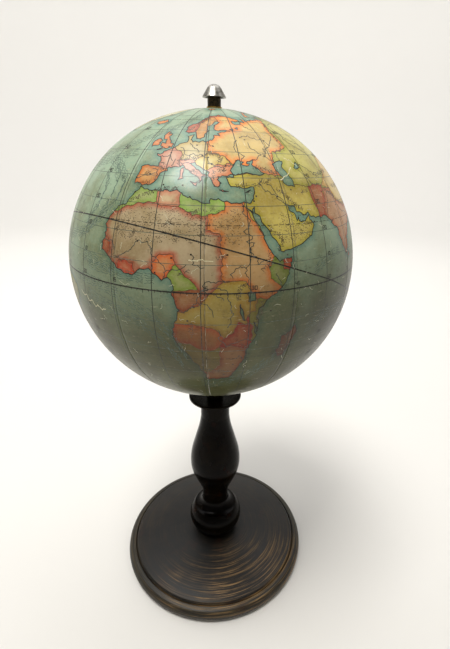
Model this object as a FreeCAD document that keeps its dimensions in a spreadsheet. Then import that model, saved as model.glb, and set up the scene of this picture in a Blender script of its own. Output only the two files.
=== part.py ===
"""Small table globe: a papier-mache ball on a turned wooden stand.

Millimetres, +Z up. The origin is on the table under the middle of the base, and the axle lies on Z.
Every section is drawn on the XZ plane as (radius, height) and revolved about Z.
"""
import FreeCAD, Part
import math
import os
import Sketcher

# ---------------------------------------------------------------- driving sizes
SIZES = {
    # turned base
    "base_radius": 51.2,          # widest part of the bead
    "foot_inset": 2.0,            # outside of the ring that stands on the table, in from the bead
    "foot_width": 4.5,
    "base_hollow": 1.2,           # depth turned away inside the foot ring
    "bead_centre": 3.2,
    "bead_top": 6.3,
    "bead_inset": 1.8,            # bead's top edge, in from its widest part
    "groove_inset": 4.3,          # middle of the groove, in from the bead
    "groove_depth": 0.5,
    "groove_half_width": 0.5,
    "dome_edge": 7.8,             # height of the dome where it starts, inside the groove
    "dome_top": 13.0,             # flat seat for the column
    "seat_margin": 2.5,           # flat left round the column's foot
    # column, each height counted up from the one before
    "tenon_radius": 6.0,
    "tenon_length": 8.7,
    "tenon_room": 0.3,            # left under the tenon for glue
    "glue_gap": 0.05,
    "foot_radius": 9.5,
    "ball_radius": 14.9,
    "ball_step": 8.5,
    "shoulder_radius": 11.9,
    "shoulder_step": 7.5,
    "waist_radius": 7.2,
    "waist_step": 5.5,
    "waist_length": 3.5,
    "flare_out": 1.2,             # flare over the waist, which it follows so that the vase stays smooth
    "flare_step": 6.0,
    "vase_low_radius": 12.1,
    "vase_low_step": 9.2,
    "vase_radius": 13.6,
    "vase_step": 8.0,
    "vase_high_radius": 12.2,
    "vase_high_step": 10.1,
    "slope_radius": 9.2,
    "slope_step": 10.6,
    "neck_radius": 7.5,
    "neck_step": 9.2,
    "neck_length": 6.8,
    "cove_inset": 1.1,            # top of the cove, in from the flange's rim
    "cove_step": 4.4,
    "flange_radius": 13.4,
    "flange_thickness": 1.4,
    "edge_rounding": 0.4,
    "dish_depth": 0.4,
    # axle and its fittings
    "axle_radius": 2.0,
    "axle_depth": 20.0,           # how far the rod is driven into the column
    "drive_gap": 0.02,
    "thread_radius": 1.5,
    "thread_length": 2.5,
    "running_gap": 0.06,
    "end_play": 0.05,
    "collar_radius": 4.6,
    "collar_groove": 0.8,         # how far the collar's waist is turned in
    "collar_height": 9.25,
    "washer_width": 3.54,         # of the ring, from its hole to its rim
    "washer_thickness": 0.9,
    "top_washer_width": 0.94,
    "top_washer_thickness": 0.5,
    "sleeve_wall": 0.54,
    "sleeve_height": 3.5,
    # ball
    "globe_radius": 60.0,
    "paper": 0.2,
    "plaster": 1.0,
    "board": 2.0,
    "paste": 0.03,
    "gore_count": 12,
    "gore_seam": 0.05,            # degrees left open between neighbouring gores
    "first_seam": -3.0,           # degrees from +X to the first seam
    "cap_radius": 9.4,            # polar caps of paper, measured from the axle
    "pole_gap": 0.1,              # between a bush and the layers round it
    "bush_wall": 1.14,
    "bush_length": 8.0,
    "post_radius": 7.0,
    "post_gap": 0.1,
    "post_bore_gap": 0.4,         # the post stays clear of the axle between its bushes
    "band_half_width": 6.0,
    "band_thickness": 0.5,
    "tack_inset": 2.0,            # from the side of the bush to the middle of a tack
    "tack_count": 3,
    "tack_radius": 0.35,
    "tack_length": 7.0,
    "tack_head": 0.9,
    "tack_head_thickness": 0.3,
    # finial
    "cap_wall": 1.0,
    "cap_edge": 0.15,             # upright edge of the rim
    "cap_roof": 1.3,
    "cap_side": 0.73,             # metal round the insert where the cone meets the crown
    "cap_crown": 0.35,            # how far below the roof that is
    "cap_overlap": 0.3,           # how far the rim hides the sleeve
    "thread_room": 0.35,          # left above the end of the axle
    "lock_washer_radius": 3.4,
    "lock_washer_thickness": 0.3,
    "lock_washer_gap": 0.2,
    "insert_wall": 0.64,
}

doc = FreeCAD.newDocument("TableGlobe")
sheet = doc.addObject("Spreadsheet::Sheet", "Sizes")
for row, (alias, size) in enumerate(SIZES.items(), start=1):
    sheet.set("A%d" % row, alias)
    sheet.set("B%d" % row, str(size))
    sheet.setAlias("B%d" % row, alias)
doc.recompute()

# Heights that several pieces share, as sums of the driving sizes.
SEAT = "dome_top"
BALL = SEAT + " + ball_step"
BALL_SHOULDER = BALL + " + shoulder_step"
WAIST = BALL_SHOULDER + " + waist_step"
WAIST_TOP = WAIST + " + waist_length"
FLARE = WAIST_TOP + " + flare_step"
VASE_LOW = FLARE + " + vase_low_step"
VASE = VASE_LOW + " + vase_step"
VASE_HIGH = VASE + " + vase_high_step"
SLOPE = VASE_HIGH + " + slope_step"
NECK = SLOPE + " + neck_step"
NECK_TOP = NECK + " + neck_length"
COVE = NECK_TOP + " + cove_step"
FLANGE = COVE + " + flange_thickness"
DISH = FLANGE + " - dish_depth"
COLLAR_TOP = DISH + " + collar_height"
WASHER_TOP = COLLAR_TOP + " + washer_thickness"
GLOBE_FOOT = WASHER_TOP + " + end_play"
CENTRE = GLOBE_FOOT + " + globe_radius"
GLOBE_TOP = CENTRE + " + globe_radius"
TOP_WASHER = GLOBE_TOP + " + end_play"
SLEEVE_FOOT = TOP_WASHER + " + top_washer_thickness"
SLEEVE_TOP = SLEEVE_FOOT + " + sleeve_height"
SHOULDER = SLEEVE_TOP + " + end_play"
LOCK_TOP = SHOULDER + " + lock_washer_thickness"
CAP_RIM = SLEEVE_TOP + " - cap_overlap"
CAP_ROOF = SHOULDER + " + thread_length + thread_room"
CAP_CROWN = CAP_ROOF + " - cap_crown"
CAP_TOP = CAP_ROOF + " + cap_roof"

# Radii of the pieces that fit round the axle.
RUNNING = "axle_radius + running_gap"
BUSH_OUT = RUNNING + " + bush_wall"
SLEEVE_OUT = RUNNING + " + sleeve_wall"
BUSH_HOLE = BUSH_OUT + " + paste"
POLE_HOLE = BUSH_OUT + " + pole_gap"
THREAD_HOLE = "thread_radius + running_gap"
INSERT_OUT = THREAD_HOLE + " + insert_wall"
CAP_RECESS = "lock_washer_radius + lock_washer_gap"
CAP_OUT = CAP_RECESS + " + cap_wall"

# Radii of the layers of the ball, from the outside in.
PAPER_OUT = "globe_radius"
PAPER_IN = "globe_radius - paper"
PLASTER_OUT = PAPER_IN + " - paste"
PLASTER_IN = PLASTER_OUT + " - plaster"
BOARD_OUT = PLASTER_IN + " - paste"
BOARD_IN = BOARD_OUT + " - board"
BAND_OUT = BOARD_IN + " - paste"
BAND_IN = BAND_OUT + " - band_thickness"


def words(expression):
    """A sum written with spaces, as (sign, word) pairs."""
    sign = 1.0
    for word in expression.split():
        if word in "+-":
            sign = 1.0 if word == "+" else -1.0
        else:
            yield sign, word
            sign = 1.0


def number(expression):
    """Value of a sum of driving sizes, such as 'dome_top + column_height'."""
    return sum(sign * (SIZES[word] if word in SIZES else float(word)) for sign, word in words(expression))


def bound(expression):
    """The same sum as a document expression that reads the sheet."""
    return " ".join("Sizes." + word if word in SIZES else word for word in expression.split())


def origin_plane(body, role):
    return next(o for o in body.Origin.OriginFeatures if o.Role == role)


def new_body(label):
    """An empty body with a sketch on its XZ plane."""
    body = doc.addObject("PartDesign::Body", label)
    body.Label = label
    sketch = body.newObject("Sketcher::SketchObject", label + "_section")
    sketch.AttachmentSupport = [(origin_plane(body, "XZ_Plane"), "")]
    sketch.MapMode = "FlatFace"
    return body, sketch


def pin(sketch, kind, refs, expression, name):
    """A dimension of the sketch that follows the sheet."""
    value = number(expression)
    sketch.addConstraint(Sketcher.Constraint(kind, *refs, value))
    index = sketch.ConstraintCount - 1
    sketch.renameConstraint(index, name)
    sketch.setExpression("Constraints." + name, bound(expression))


def fix_point(sketch, edge, end, radius, height, name):
    """Holds one end of an edge at (radius, height)."""
    if radius == "0":
        sketch.addConstraint(Sketcher.Constraint("PointOnObject", edge, end, -2))
    else:
        pin(sketch, "DistanceX", (-1, 1, edge, end), radius, name + "_r")
    pin(sketch, "DistanceY", (-1, 1, edge, end), height, name + "_z")


def arc_between(start, end, centre):
    """Arc edge from start to end about centre, the short way round, and whether it runs backwards."""
    a0 = math.atan2(start[1] - centre[1], start[0] - centre[0])
    a1 = math.atan2(end[1] - centre[1], end[0] - centre[0])
    turn = (a1 - a0 + math.pi) % (2 * math.pi) - math.pi
    radius = math.hypot(start[0] - centre[0], start[1] - centre[1])
    circle = Part.Circle(FreeCAD.Vector(centre[0], centre[1], 0), FreeCAD.Vector(0, 0, 1), radius)
    if turn > 0:
        return Part.ArcOfCircle(circle, a0, a0 + turn), False
    return Part.ArcOfCircle(circle, a0 + turn, a0), True


def tangent_centre(start, end, heading):
    """Centre of the arc that leaves start along heading and reaches end."""
    side = (-heading[1], heading[0])
    step = (end[0] - start[0], end[1] - start[1])
    reach = (step[0] ** 2 + step[1] ** 2) / (2 * (side[0] * step[0] + side[1] * step[1]))
    return start[0] + side[0] * reach, start[1] + side[1] * reach


def crest_centre(start, end):
    """Centre of the arc that reaches end standing upright, so the centre is level with end."""
    across = end[0] - start[0]
    reach = (across ** 2 + (end[1] - start[1]) ** 2) / (2 * across)
    return end[0] - reach, end[1]


def dome_centre(start, end):
    """Centre, on the axle, of the arc from start to end."""
    rise = (end[0] ** 2 - start[0] ** 2 + end[1] ** 2 - start[1] ** 2) / (2 * (end[1] - start[1]))
    return 0.0, rise


def heading_at(point, centre, backwards):
    """Direction of travel along an arc at one of its points."""
    spoke = (point[0] - centre[0], point[1] - centre[1])
    length = math.hypot(*spoke)
    turn = -1.0 if backwards else 1.0
    return -turn * spoke[1] / length, turn * spoke[0] / length


def draw_section(sketch, corners):
    """Closed half section. A corner is (radius, height, how), where how says what leads to the next one.

    'line' is straight, 'crest' an arc that ends upright, 'dome' an arc centred on the axle, and 'follow' an
    arc that carries on smoothly from the edge before.
    """
    places = [(number(corner[0]), number(corner[1])) for corner in corners]
    heading = (0.0, 1.0)
    ends = []
    for i, corner in enumerate(corners):
        start = places[i]
        end = places[(i + 1) % len(places)]
        how = corner[2]
        if how == "line":
            edge = sketch.addGeometry(Part.LineSegment(FreeCAD.Vector(*start, 0), FreeCAD.Vector(*end, 0)))
            length = math.hypot(end[0] - start[0], end[1] - start[1])
            heading = ((end[0] - start[0]) / length, (end[1] - start[1]) / length)
            ends.append((edge, 1, 2))
            continue
        if how == "crest":
            centre = crest_centre(start, end)
        elif how == "dome":
            centre = dome_centre(start, end)
        else:
            centre = tangent_centre(start, end, heading)
        arc, backwards = arc_between(start, end, centre)
        edge = sketch.addGeometry(arc)
        heading = heading_at(end, centre, backwards)
        ends.append((edge, 2, 1) if backwards else (edge, 1, 2))
    for i, (edge, first, last) in enumerate(ends):
        before, _, before_last = ends[i - 1]
        how = corners[i][2]
        if how == "follow":
            sketch.addConstraint(Sketcher.Constraint("Tangent", before, before_last, edge, first))
        else:
            sketch.addConstraint(Sketcher.Constraint("Coincident", before, before_last, edge, first))
        if how == "crest":
            sketch.addConstraint(Sketcher.Constraint("Horizontal", edge, 3, edge, last))
        if how == "dome":
            sketch.addConstraint(Sketcher.Constraint("PointOnObject", edge, 3, -2))
    for i, (edge, first, _) in enumerate(ends):
        radius, height, _ = corners[i]
        fix_point(sketch, edge, first, radius, height, "corner%d" % i)


def revolve(body, sketch, degrees="360"):
    """Turns the section about the axle."""
    turned = body.newObject("PartDesign::Revolution", body.Label + "_turned")
    turned.Profile = sketch
    turned.ReferenceAxis = (sketch, ["V_Axis"])
    turned.Angle = 360.0
    if degrees != "360":
        turned.setExpression("Angle", degrees)
    return body


def turned_piece(label, corners):
    """A piece made on a lathe."""
    body, sketch = new_body(label)
    draw_section(sketch, corners)
    return revolve(body, sketch)


def tube(label, inner, outer, low, high):
    """A plain ring, washer or sleeve."""
    return turned_piece(label, [
        (inner, low, "line"),
        (outer, low, "line"),
        (outer, high, "line"),
        (inner, high, "line"),
    ])


def shell_point(radius, across):
    """Height above the ball's centre of the point of a sphere that is 'across' from the axle."""
    return math.sqrt(number(radius) ** 2 - number(across) ** 2)


def at_radius(across, side):
    """Edge of a shell that is 'across' from the axle, above (1) or below (-1) the ball's middle."""
    return "across", across, side


def at_level(rise):
    """Edge of a shell that lies 'rise' above the ball's middle."""
    return "level", rise, 1


def shell_end(radius, limit):
    """Where a sphere of the ball meets one edge of a shell."""
    kind, expression, side = limit
    middle = number(CENTRE)
    if kind == "across":
        return number(expression), middle + side * shell_point(radius, expression)
    return shell_point(radius, expression), middle + number(expression)


def shell_piece(label, outer, inner, low, high, degrees="360"):
    """Part of a hollow ball between two edges, low and high."""
    body, sketch = new_body(label)
    centre = (0.0, number(CENTRE))
    out_arc = sketch.addGeometry(arc_between(shell_end(outer, low), shell_end(outer, high), centre)[0])
    in_arc = sketch.addGeometry(arc_between(shell_end(inner, low), shell_end(inner, high), centre)[0])
    lines = []
    for limit in (high, low):
        start = FreeCAD.Vector(*shell_end(outer, limit), 0)
        end = FreeCAD.Vector(*shell_end(inner, limit), 0)
        lines.append(sketch.addGeometry(Part.LineSegment(start, end)))
    # Both arcs run upwards, so end 2 of each is at the high edge and end 1 at the low one.
    for line, arc_end in zip(lines, (2, 1)):
        sketch.addConstraint(Sketcher.Constraint("Coincident", line, 1, out_arc, arc_end))
        sketch.addConstraint(Sketcher.Constraint("Coincident", line, 2, in_arc, arc_end))
    sketch.addConstraint(Sketcher.Constraint("PointOnObject", out_arc, 3, -2))
    sketch.addConstraint(Sketcher.Constraint("Coincident", out_arc, 3, in_arc, 3))
    pin(sketch, "DistanceY", (-1, 1, out_arc, 3), CENTRE, "centre")
    pin(sketch, "Radius", (out_arc,), outer, "outer")
    pin(sketch, "Radius", (in_arc,), inner, "inner")
    for line, limit, name in zip(lines, (high, low), ("high", "low")):
        kind, expression, _ = limit
        if kind == "across":
            sketch.addConstraint(Sketcher.Constraint("Vertical", line))
            pin(sketch, "DistanceX", (-1, 1, line, 1), expression, name)
        else:
            sketch.addConstraint(Sketcher.Constraint("Horizontal", line))
            pin(sketch, "DistanceY", (-1, 1, line, 1), CENTRE + " + " + expression, name)
    return revolve(body, sketch, degrees)


# ---------------------------------------------------------------- stand
def make_base():
    """Turned disc: foot ring, bead, quirk and low dome, with a blind mortise for the column."""
    foot = "base_radius - foot_inset"
    foot_inside = foot + " - foot_width"
    groove = "base_radius - groove_inset"
    mortise = "tenon_radius + glue_gap"
    mortise_floor = SEAT + " - tenon_length - tenon_room"
    return turned_piece("base", [
        ("0", "base_hollow", "line"),
        (foot_inside + " - base_hollow", "base_hollow", "line"),
        (foot_inside, "0", "line"),
        (foot, "0", "crest"),
        ("base_radius", "bead_centre", "follow"),
        ("base_radius - bead_inset", "bead_top", "line"),
        (groove + " + groove_half_width", "bead_top + groove_depth", "line"),
        (groove, "bead_top", "line"),
        (groove + " - groove_half_width", "dome_edge - groove_depth", "line"),
        (groove + " - groove_half_width - groove_depth", "dome_edge", "dome"),
        ("foot_radius + seat_margin", SEAT, "line"),
        (mortise, SEAT, "line"),
        (mortise, mortise_floor, "line"),
        ("0", mortise_floor, "line"),
    ])


def make_column():
    """Baluster: tenon, squat ball, waist, vase, neck and a thin dished flange, bored for the axle."""
    tenon_foot = SEAT + " - tenon_length"
    rim = "flange_radius - edge_rounding"
    bore = "axle_radius + drive_gap"
    bore_floor = DISH + " - axle_depth - glue_gap"
    return turned_piece("column", [
        ("0", tenon_foot, "line"),
        ("tenon_radius", tenon_foot, "line"),
        ("tenon_radius", SEAT, "line"),
        ("foot_radius", SEAT, "crest"),
        ("ball_radius", BALL, "follow"),
        ("shoulder_radius", BALL_SHOULDER, "crest"),
        ("waist_radius", WAIST, "line"),
        ("waist_radius", WAIST_TOP, "follow"),
        ("waist_radius + flare_out", FLARE, "follow"),
        ("vase_low_radius", VASE_LOW, "follow"),
        ("vase_radius", VASE, "follow"),
        ("vase_high_radius", VASE_HIGH, "follow"),
        ("slope_radius", SLOPE, "follow"),
        ("neck_radius", NECK, "line"),
        ("neck_radius", NECK_TOP, "follow"),
        ("flange_radius - cove_inset", COVE, "line"),
        (rim, COVE, "crest"),
        ("flange_radius", COVE + " + edge_rounding", "line"),
        ("flange_radius", FLANGE + " - edge_rounding", "follow"),
        (rim, FLANGE, "line"),
        ("collar_radius + edge_rounding", DISH, "line"),
        (bore, DISH, "line"),
        (bore, bore_floor, "line"),
        ("0", bore_floor, "line"),
    ])


def make_axle():
    """Steel rod driven into the column, with a shoulder and a thinner threaded end."""
    return turned_piece("axle_rod", [
        ("0", DISH + " - axle_depth", "line"),
        ("axle_radius", DISH + " - axle_depth", "line"),
        ("axle_radius", SHOULDER, "line"),
        ("thread_radius", SHOULDER, "line"),
        ("thread_radius", SHOULDER + " + thread_length", "line"),
        ("0", SHOULDER + " + thread_length", "line"),
    ])


def make_lower_collar():
    """Small turned spool that carries the ball above the flange."""
    waist = "collar_radius - collar_groove"
    return turned_piece("lower_collar", [
        (RUNNING, DISH, "line"),
        ("collar_radius", DISH, "line"),
        ("collar_radius", DISH + " + edge_rounding", "line"),
        (waist, DISH + " + edge_rounding + edge_rounding", "line"),
        (waist, COLLAR_TOP + " - edge_rounding - edge_rounding", "line"),
        ("collar_radius", COLLAR_TOP + " - edge_rounding", "line"),
        ("collar_radius", COLLAR_TOP, "line"),
        (RUNNING, COLLAR_TOP, "line"),
    ])


# ---------------------------------------------------------------- ball
def make_gore(index):
    """One of the paper gores, between the two polar caps."""
    width = "360 / Sizes.gore_count - Sizes.gore_seam"
    edge = "cap_radius + paste"
    label = "gore_%02d" % (index + 1)
    body = shell_piece(label, PAPER_OUT, PAPER_IN, at_radius(edge, -1), at_radius(edge, 1), width)
    body.Placement = FreeCAD.Placement(FreeCAD.Vector(), FreeCAD.Rotation(FreeCAD.Vector(0, 0, 1), 1.0))
    body.setExpression("Placement.Rotation.Angle", "Sizes.first_seam + %d * 360 / Sizes.gore_count" % index)
    return body


def make_hemisphere(label, upper):
    """Half of the pasteboard shell, with a hole at the pole for the bush."""
    if upper:
        return shell_piece(label, BOARD_OUT, BOARD_IN, at_level("paste"), at_radius(BUSH_HOLE, 1))
    return shell_piece(label, BOARD_OUT, BOARD_IN, at_radius(BUSH_HOLE, -1), at_level("0 - paste"))


def make_joint_band():
    """Strip of linen pasted inside, over the joint of the two halves."""
    low = at_level("0 - band_half_width")
    return shell_piece("joint_band", BAND_OUT, BAND_IN, low, at_level("band_half_width"))


def make_plaster():
    """Coat of whiting over the pasteboard, which the paper is pasted on."""
    low = at_radius(POLE_HOLE, -1)
    return shell_piece("plaster_shell", PLASTER_OUT, PLASTER_IN, low, at_radius(POLE_HOLE, 1))


def make_calotte(label, upper):
    """Round paper cap over the tips of the gores."""
    if upper:
        return shell_piece(label, PAPER_OUT, PAPER_IN, at_radius("cap_radius", 1), at_radius(POLE_HOLE, 1))
    return shell_piece(label, PAPER_OUT, PAPER_IN, at_radius(POLE_HOLE, -1), at_radius("cap_radius", -1))


def make_post():
    """Wooden post between the poles, counterbored for the bushes, its ends rounded to fit the pasteboard."""
    bore = RUNNING + " + post_bore_gap"
    low = GLOBE_FOOT
    low_floor = GLOBE_FOOT + " + bush_length + post_gap"
    high = GLOBE_TOP
    high_floor = GLOBE_TOP + " - bush_length - post_gap"
    blank = turned_piece("post_blank", [
        (BUSH_HOLE, low, "line"),
        ("post_radius", low, "line"),
        ("post_radius", high, "line"),
        (BUSH_HOLE, high, "line"),
        (BUSH_HOLE, high_floor, "line"),
        (bore, high_floor, "line"),
        (bore, low_floor, "line"),
        (BUSH_HOLE, low_floor, "line"),
    ])
    inside = doc.addObject("Part::Sphere", "post_rounding")
    inside.setExpression("Radius", bound(BOARD_IN + " - post_gap"))
    inside.setExpression("Placement.Base.z", bound(CENTRE))
    post = doc.addObject("Part::Common", "axis_post")
    post.Base = blank
    post.Tool = inside
    post.Label = "axis_post"
    return post


def make_bush(label, upper):
    """Turned bush at a pole: the axle runs in it."""
    if upper:
        return tube(label, RUNNING, BUSH_OUT, GLOBE_TOP + " - bush_length", GLOBE_TOP)
    return tube(label, RUNNING, BUSH_OUT, GLOBE_FOOT, GLOBE_FOOT + " + bush_length")


def make_tacks():
    """Tacks through the pasteboard into the ends of the post, as one group of separate solids."""
    circle = bound(BUSH_OUT + " + tack_inset")
    head_edge = bound(BUSH_OUT + " + tack_inset + tack_head")
    reach = "sqrt((%s) ^ 2 - (%s) ^ 2) - Sizes.tack_head_thickness" % (bound(BOARD_OUT), head_edge)
    count = int(SIZES["tack_count"])
    tacks = []
    for side in ("+", "-"):
        for i in range(count):
            shank = doc.addObject("Part::Cylinder", "tack_shank")
            shank.setExpression("Radius", "Sizes.tack_radius")
            shank.setExpression("Height", "Sizes.tack_length")
            shank.setExpression("Placement.Base.z", "-Sizes.tack_length")
            head = doc.addObject("Part::Cylinder", "tack_head")
            head.setExpression("Radius", "Sizes.tack_head")
            head.setExpression("Height", "Sizes.tack_head_thickness")
            tack = doc.addObject("Part::MultiFuse", "tack")
            tack.Shapes = [shank, head]
            flip = 0.0 if side == "+" else 180.0
            tack.Placement.Rotation = FreeCAD.Rotation(FreeCAD.Vector(1, 0, 0), flip)
            tack.setExpression("Placement.Base.x", "(%s) * cos(%d * 360 / %d)" % (circle, i, count))
            tack.setExpression("Placement.Base.y", "(%s) * sin(%d * 360 / %d)" % (circle, i, count))
            tack.setExpression("Placement.Base.z", "%s %s (%s)" % (bound(CENTRE), side, reach))
            tacks.append(tack)
    group = doc.addObject("Part::Compound", "pole_tacks")
    group.Label = "pole_tacks"
    group.Links = tacks
    return group


# ---------------------------------------------------------------- finial
def make_insert():
    """Threaded tube pressed into the cap."""
    low = LOCK_TOP + " + drive_gap"
    return tube("finial_insert", THREAD_HOLE, INSERT_OUT, low, CAP_ROOF + " - drive_gap")


def make_finial_cap():
    """Nickel cap, a cone with a round crown and a sharp rim, hollow for the lock washer and the insert."""
    bore = INSERT_OUT + " + drive_gap"
    recess_roof = LOCK_TOP + " + drive_gap"
    return turned_piece("finial_cap", [
        (CAP_RECESS, CAP_RIM, "line"),
        (CAP_OUT, CAP_RIM, "line"),
        (CAP_OUT, CAP_RIM + " + cap_edge", "line"),
        (bore + " + cap_side", CAP_CROWN, "dome"),
        ("0", CAP_TOP, "line"),
        ("0", CAP_ROOF, "line"),
        (bore, CAP_ROOF, "line"),
        (bore, recess_roof, "line"),
        (CAP_RECESS, recess_roof, "line"),
    ])


def build():
    """Every sub-part of the globe."""
    pieces = [
        make_base(),
        make_column(),
        make_axle(),
        make_lower_collar(),
        tube("south_washer", RUNNING, RUNNING + " + washer_width", COLLAR_TOP, WASHER_TOP),
        tube("north_washer", RUNNING, RUNNING + " + top_washer_width", TOP_WASHER, SLEEVE_FOOT),
        tube("upper_sleeve", RUNNING, SLEEVE_OUT, SLEEVE_FOOT, SLEEVE_TOP),
        make_bush("south_bush", False),
        make_bush("north_bush", True),
        make_post(),
        make_hemisphere("hemisphere_south", False),
        make_hemisphere("hemisphere_north", True),
        make_joint_band(),
        make_plaster(),
        make_calotte("calotte_south", False),
        make_calotte("calotte_north", True),
        make_tacks(),
        tube("finial_washer", THREAD_HOLE, "lock_washer_radius", SHOULDER, LOCK_TOP),
        make_insert(),
        make_finial_cap(),
    ]
    for index in range(int(SIZES["gore_count"])):
        pieces.append(make_gore(index))
    return pieces


def check_and_export(pieces):
    """Stops on any failed object, then writes one file per sub-part."""
    doc.recompute()
    for item in doc.Objects:
        for fault in ("Invalid", "Error"):
            if fault in item.State:
                raise RuntimeError("%s is %s" % (item.Label, fault))
    for piece in pieces:
        if piece.Shape.isNull() or not piece.Shape.isValid():
            raise RuntimeError("%s has no valid shape" % piece.Label)
    os.makedirs("parts", exist_ok=True)
    for piece in pieces:
        piece.Shape.exportStep("parts/%s.step" % piece.Label)
        print("%-18s %10.2f mm3" % (piece.Label, piece.Shape.Volume))


check_and_export(build())
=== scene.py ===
"""Looks of a small terrestrial table globe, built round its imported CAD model."""
import math
import random

import bpy
import numpy as np
from mathutils import Matrix, Vector
from mathutils.geometry import delaunay_2d_cdt


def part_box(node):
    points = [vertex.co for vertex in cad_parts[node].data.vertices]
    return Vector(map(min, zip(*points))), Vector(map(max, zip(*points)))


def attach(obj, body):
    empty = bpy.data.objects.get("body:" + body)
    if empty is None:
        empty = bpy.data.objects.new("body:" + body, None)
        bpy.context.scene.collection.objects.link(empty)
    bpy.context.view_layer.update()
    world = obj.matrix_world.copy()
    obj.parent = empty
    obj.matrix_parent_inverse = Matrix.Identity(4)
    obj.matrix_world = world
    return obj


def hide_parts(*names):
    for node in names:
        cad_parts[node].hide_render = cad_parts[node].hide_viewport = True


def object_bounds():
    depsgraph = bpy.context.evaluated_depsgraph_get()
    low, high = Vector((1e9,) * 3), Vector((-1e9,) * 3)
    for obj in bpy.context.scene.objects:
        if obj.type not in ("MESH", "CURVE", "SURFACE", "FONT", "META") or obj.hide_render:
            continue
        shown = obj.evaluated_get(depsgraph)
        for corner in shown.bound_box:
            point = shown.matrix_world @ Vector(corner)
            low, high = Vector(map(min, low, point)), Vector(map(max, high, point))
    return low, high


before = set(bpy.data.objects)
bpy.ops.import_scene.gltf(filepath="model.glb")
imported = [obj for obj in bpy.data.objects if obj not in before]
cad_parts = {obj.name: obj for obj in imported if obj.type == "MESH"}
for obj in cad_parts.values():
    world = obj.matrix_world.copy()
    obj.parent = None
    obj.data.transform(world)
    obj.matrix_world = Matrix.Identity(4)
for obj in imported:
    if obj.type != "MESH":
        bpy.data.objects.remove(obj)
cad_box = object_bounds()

MM = 0.001
SHELL_LOW, SHELL_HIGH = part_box("plaster_shell")
CENTRE = Vector((0.0, 0.0, (SHELL_LOW.z + SHELL_HIGH.z) / 2))
BALL_RADIUS = (cad_box[1].x - cad_box[0].x) / 2


# ---------------------------------------------------------------- material helpers
class Paint:
    """A node material under construction."""

    def __init__(self, name):
        self.material = bpy.data.materials.new(name)
        self.material.use_nodes = True
        self.tree = self.material.node_tree
        self.shader = self.tree.nodes["Principled BSDF"]
        self.place = self.add("ShaderNodeTexCoord").outputs["Object"]

    def put(self, socket, value):
        if isinstance(value, bpy.types.NodeSocket):
            self.tree.links.new(value, socket)
        else:
            socket.default_value = value

    def add(self, kind, inputs=None, **settings):
        made = self.tree.nodes.new(kind)
        for key, value in settings.items():
            setattr(made, key, value)
        for key, value in (inputs or {}).items():
            self.put(made.inputs[key], value)
        return made

    def set(self, **values):
        """Sockets of the shader, with _ for a space."""
        for key, value in values.items():
            self.put(self.shader.inputs[key.replace("_", " ")], value)

    def calc(self, operation, a, b=0.0, clamp=False):
        return self.add("ShaderNodeMath", {0: a, 1: b}, operation=operation, use_clamp=clamp).outputs[0]

    def noise(self, vector, scale, detail=4.0, roughness=0.55):
        inputs = {"Vector": vector, "Scale": scale, "Detail": detail, "Roughness": roughness}
        return self.add("ShaderNodeTexNoise", inputs).outputs[0]

    def stretch(self, vector, factors):
        inputs = {0: vector, 1: factors}
        return self.add("ShaderNodeVectorMath", inputs, operation="MULTIPLY").outputs[0]

    def step(self, value, low, high, to_low=0.0, to_high=1.0):
        """Smooth step of value from low to high."""
        inputs = {"Value": value, "From Min": low, "From Max": high, "To Min": to_low, "To Max": to_high}
        return self.add("ShaderNodeMapRange", inputs, interpolation_type="SMOOTHSTEP").outputs[0]

    def mix(self, factor, a, b, blend="MIX"):
        made = self.add("ShaderNodeMix", data_type="RGBA", blend_type=blend)
        for socket, value in ((made.inputs[0], factor), (made.inputs[6], a), (made.inputs[7], b)):
            self.put(socket, value)
        return made.outputs[2]

    def turned(self):
        """Coordinates of the lathe: angle, distance from the axis and height."""
        x, y, z = self.add("ShaderNodeSeparateXYZ", {0: self.place}).outputs
        angle = self.calc("ARCTAN2", y, x)
        radius = self.calc("SQRT", self.calc("ADD", self.calc("MULTIPLY", x, x), self.calc("MULTIPLY", y, y)))
        return angle, radius, z

    def join(self, x, y, z):
        return self.add("ShaderNodeCombineXYZ", {0: x, 1: y, 2: z}).outputs[0]

    def bump(self, height, distance, strength=1.0):
        inputs = {"Height": height, "Distance": distance, "Strength": strength}
        self.put(self.shader.inputs["Normal"], self.add("ShaderNodeBump", inputs).outputs[0])


def rgb(red, green, blue):
    """A colour given as screen values from 0 to 255."""
    return tuple((c / 255.0) ** 2.2 for c in (red, green, blue)) + (1.0,)


def dress(name, material):
    """Gives a CAD node its material."""
    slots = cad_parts[name].material_slots
    for s in slots:
        s.material = material


# ---------------------------------------------------------------- printing colours
SEA = (140, 165, 140)
SHALLOWS = (104, 142, 126)
MOROCCO = (158, 176, 112)
ALGERIAN = (196, 166, 130)
LIBYAN = (162, 186, 112)
TAN = (180, 160, 130)
EGYPTIAN = (204, 160, 106)
SENEGAL = (180, 108, 70)
LIBERIAN = (206, 104, 72)
NIGERIAN = (208, 132, 74)
CAMEROON = (154, 170, 96)
FRENCH_CONGO = (176, 116, 74)
CONGO = (206, 186, 86)
GERMAN_EAST = (166, 166, 96)
SOMALI = (138, 152, 88)
HORN = (196, 108, 66)
ANGOLAN = (206, 124, 52)
RHODESIAN = (200, 90, 40)
SOUTH_WEST = (172, 166, 106)
CAPE = (202, 148, 114)
AFRICAN_BROWN = (164, 114, 78)
YELLOW = (198, 180, 82)
SIBERIAN = (190, 182, 94)
RUSSIAN = (210, 178, 104)
AUSTRIAN = (210, 190, 122)
SPANISH = (218, 156, 88)
ISLE_ORANGE = (216, 156, 100)
SWEDISH = (210, 168, 112)
NORWEGIAN = (192, 120, 92)
ROSE = (204, 158, 140)
GERMAN = (198, 182, 140)
BALKAN = (216, 158, 122)
AFGHAN = (184, 104, 68)
INDIAN_BROWN = (190, 134, 98)
CHINESE = (208, 178, 110)
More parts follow.
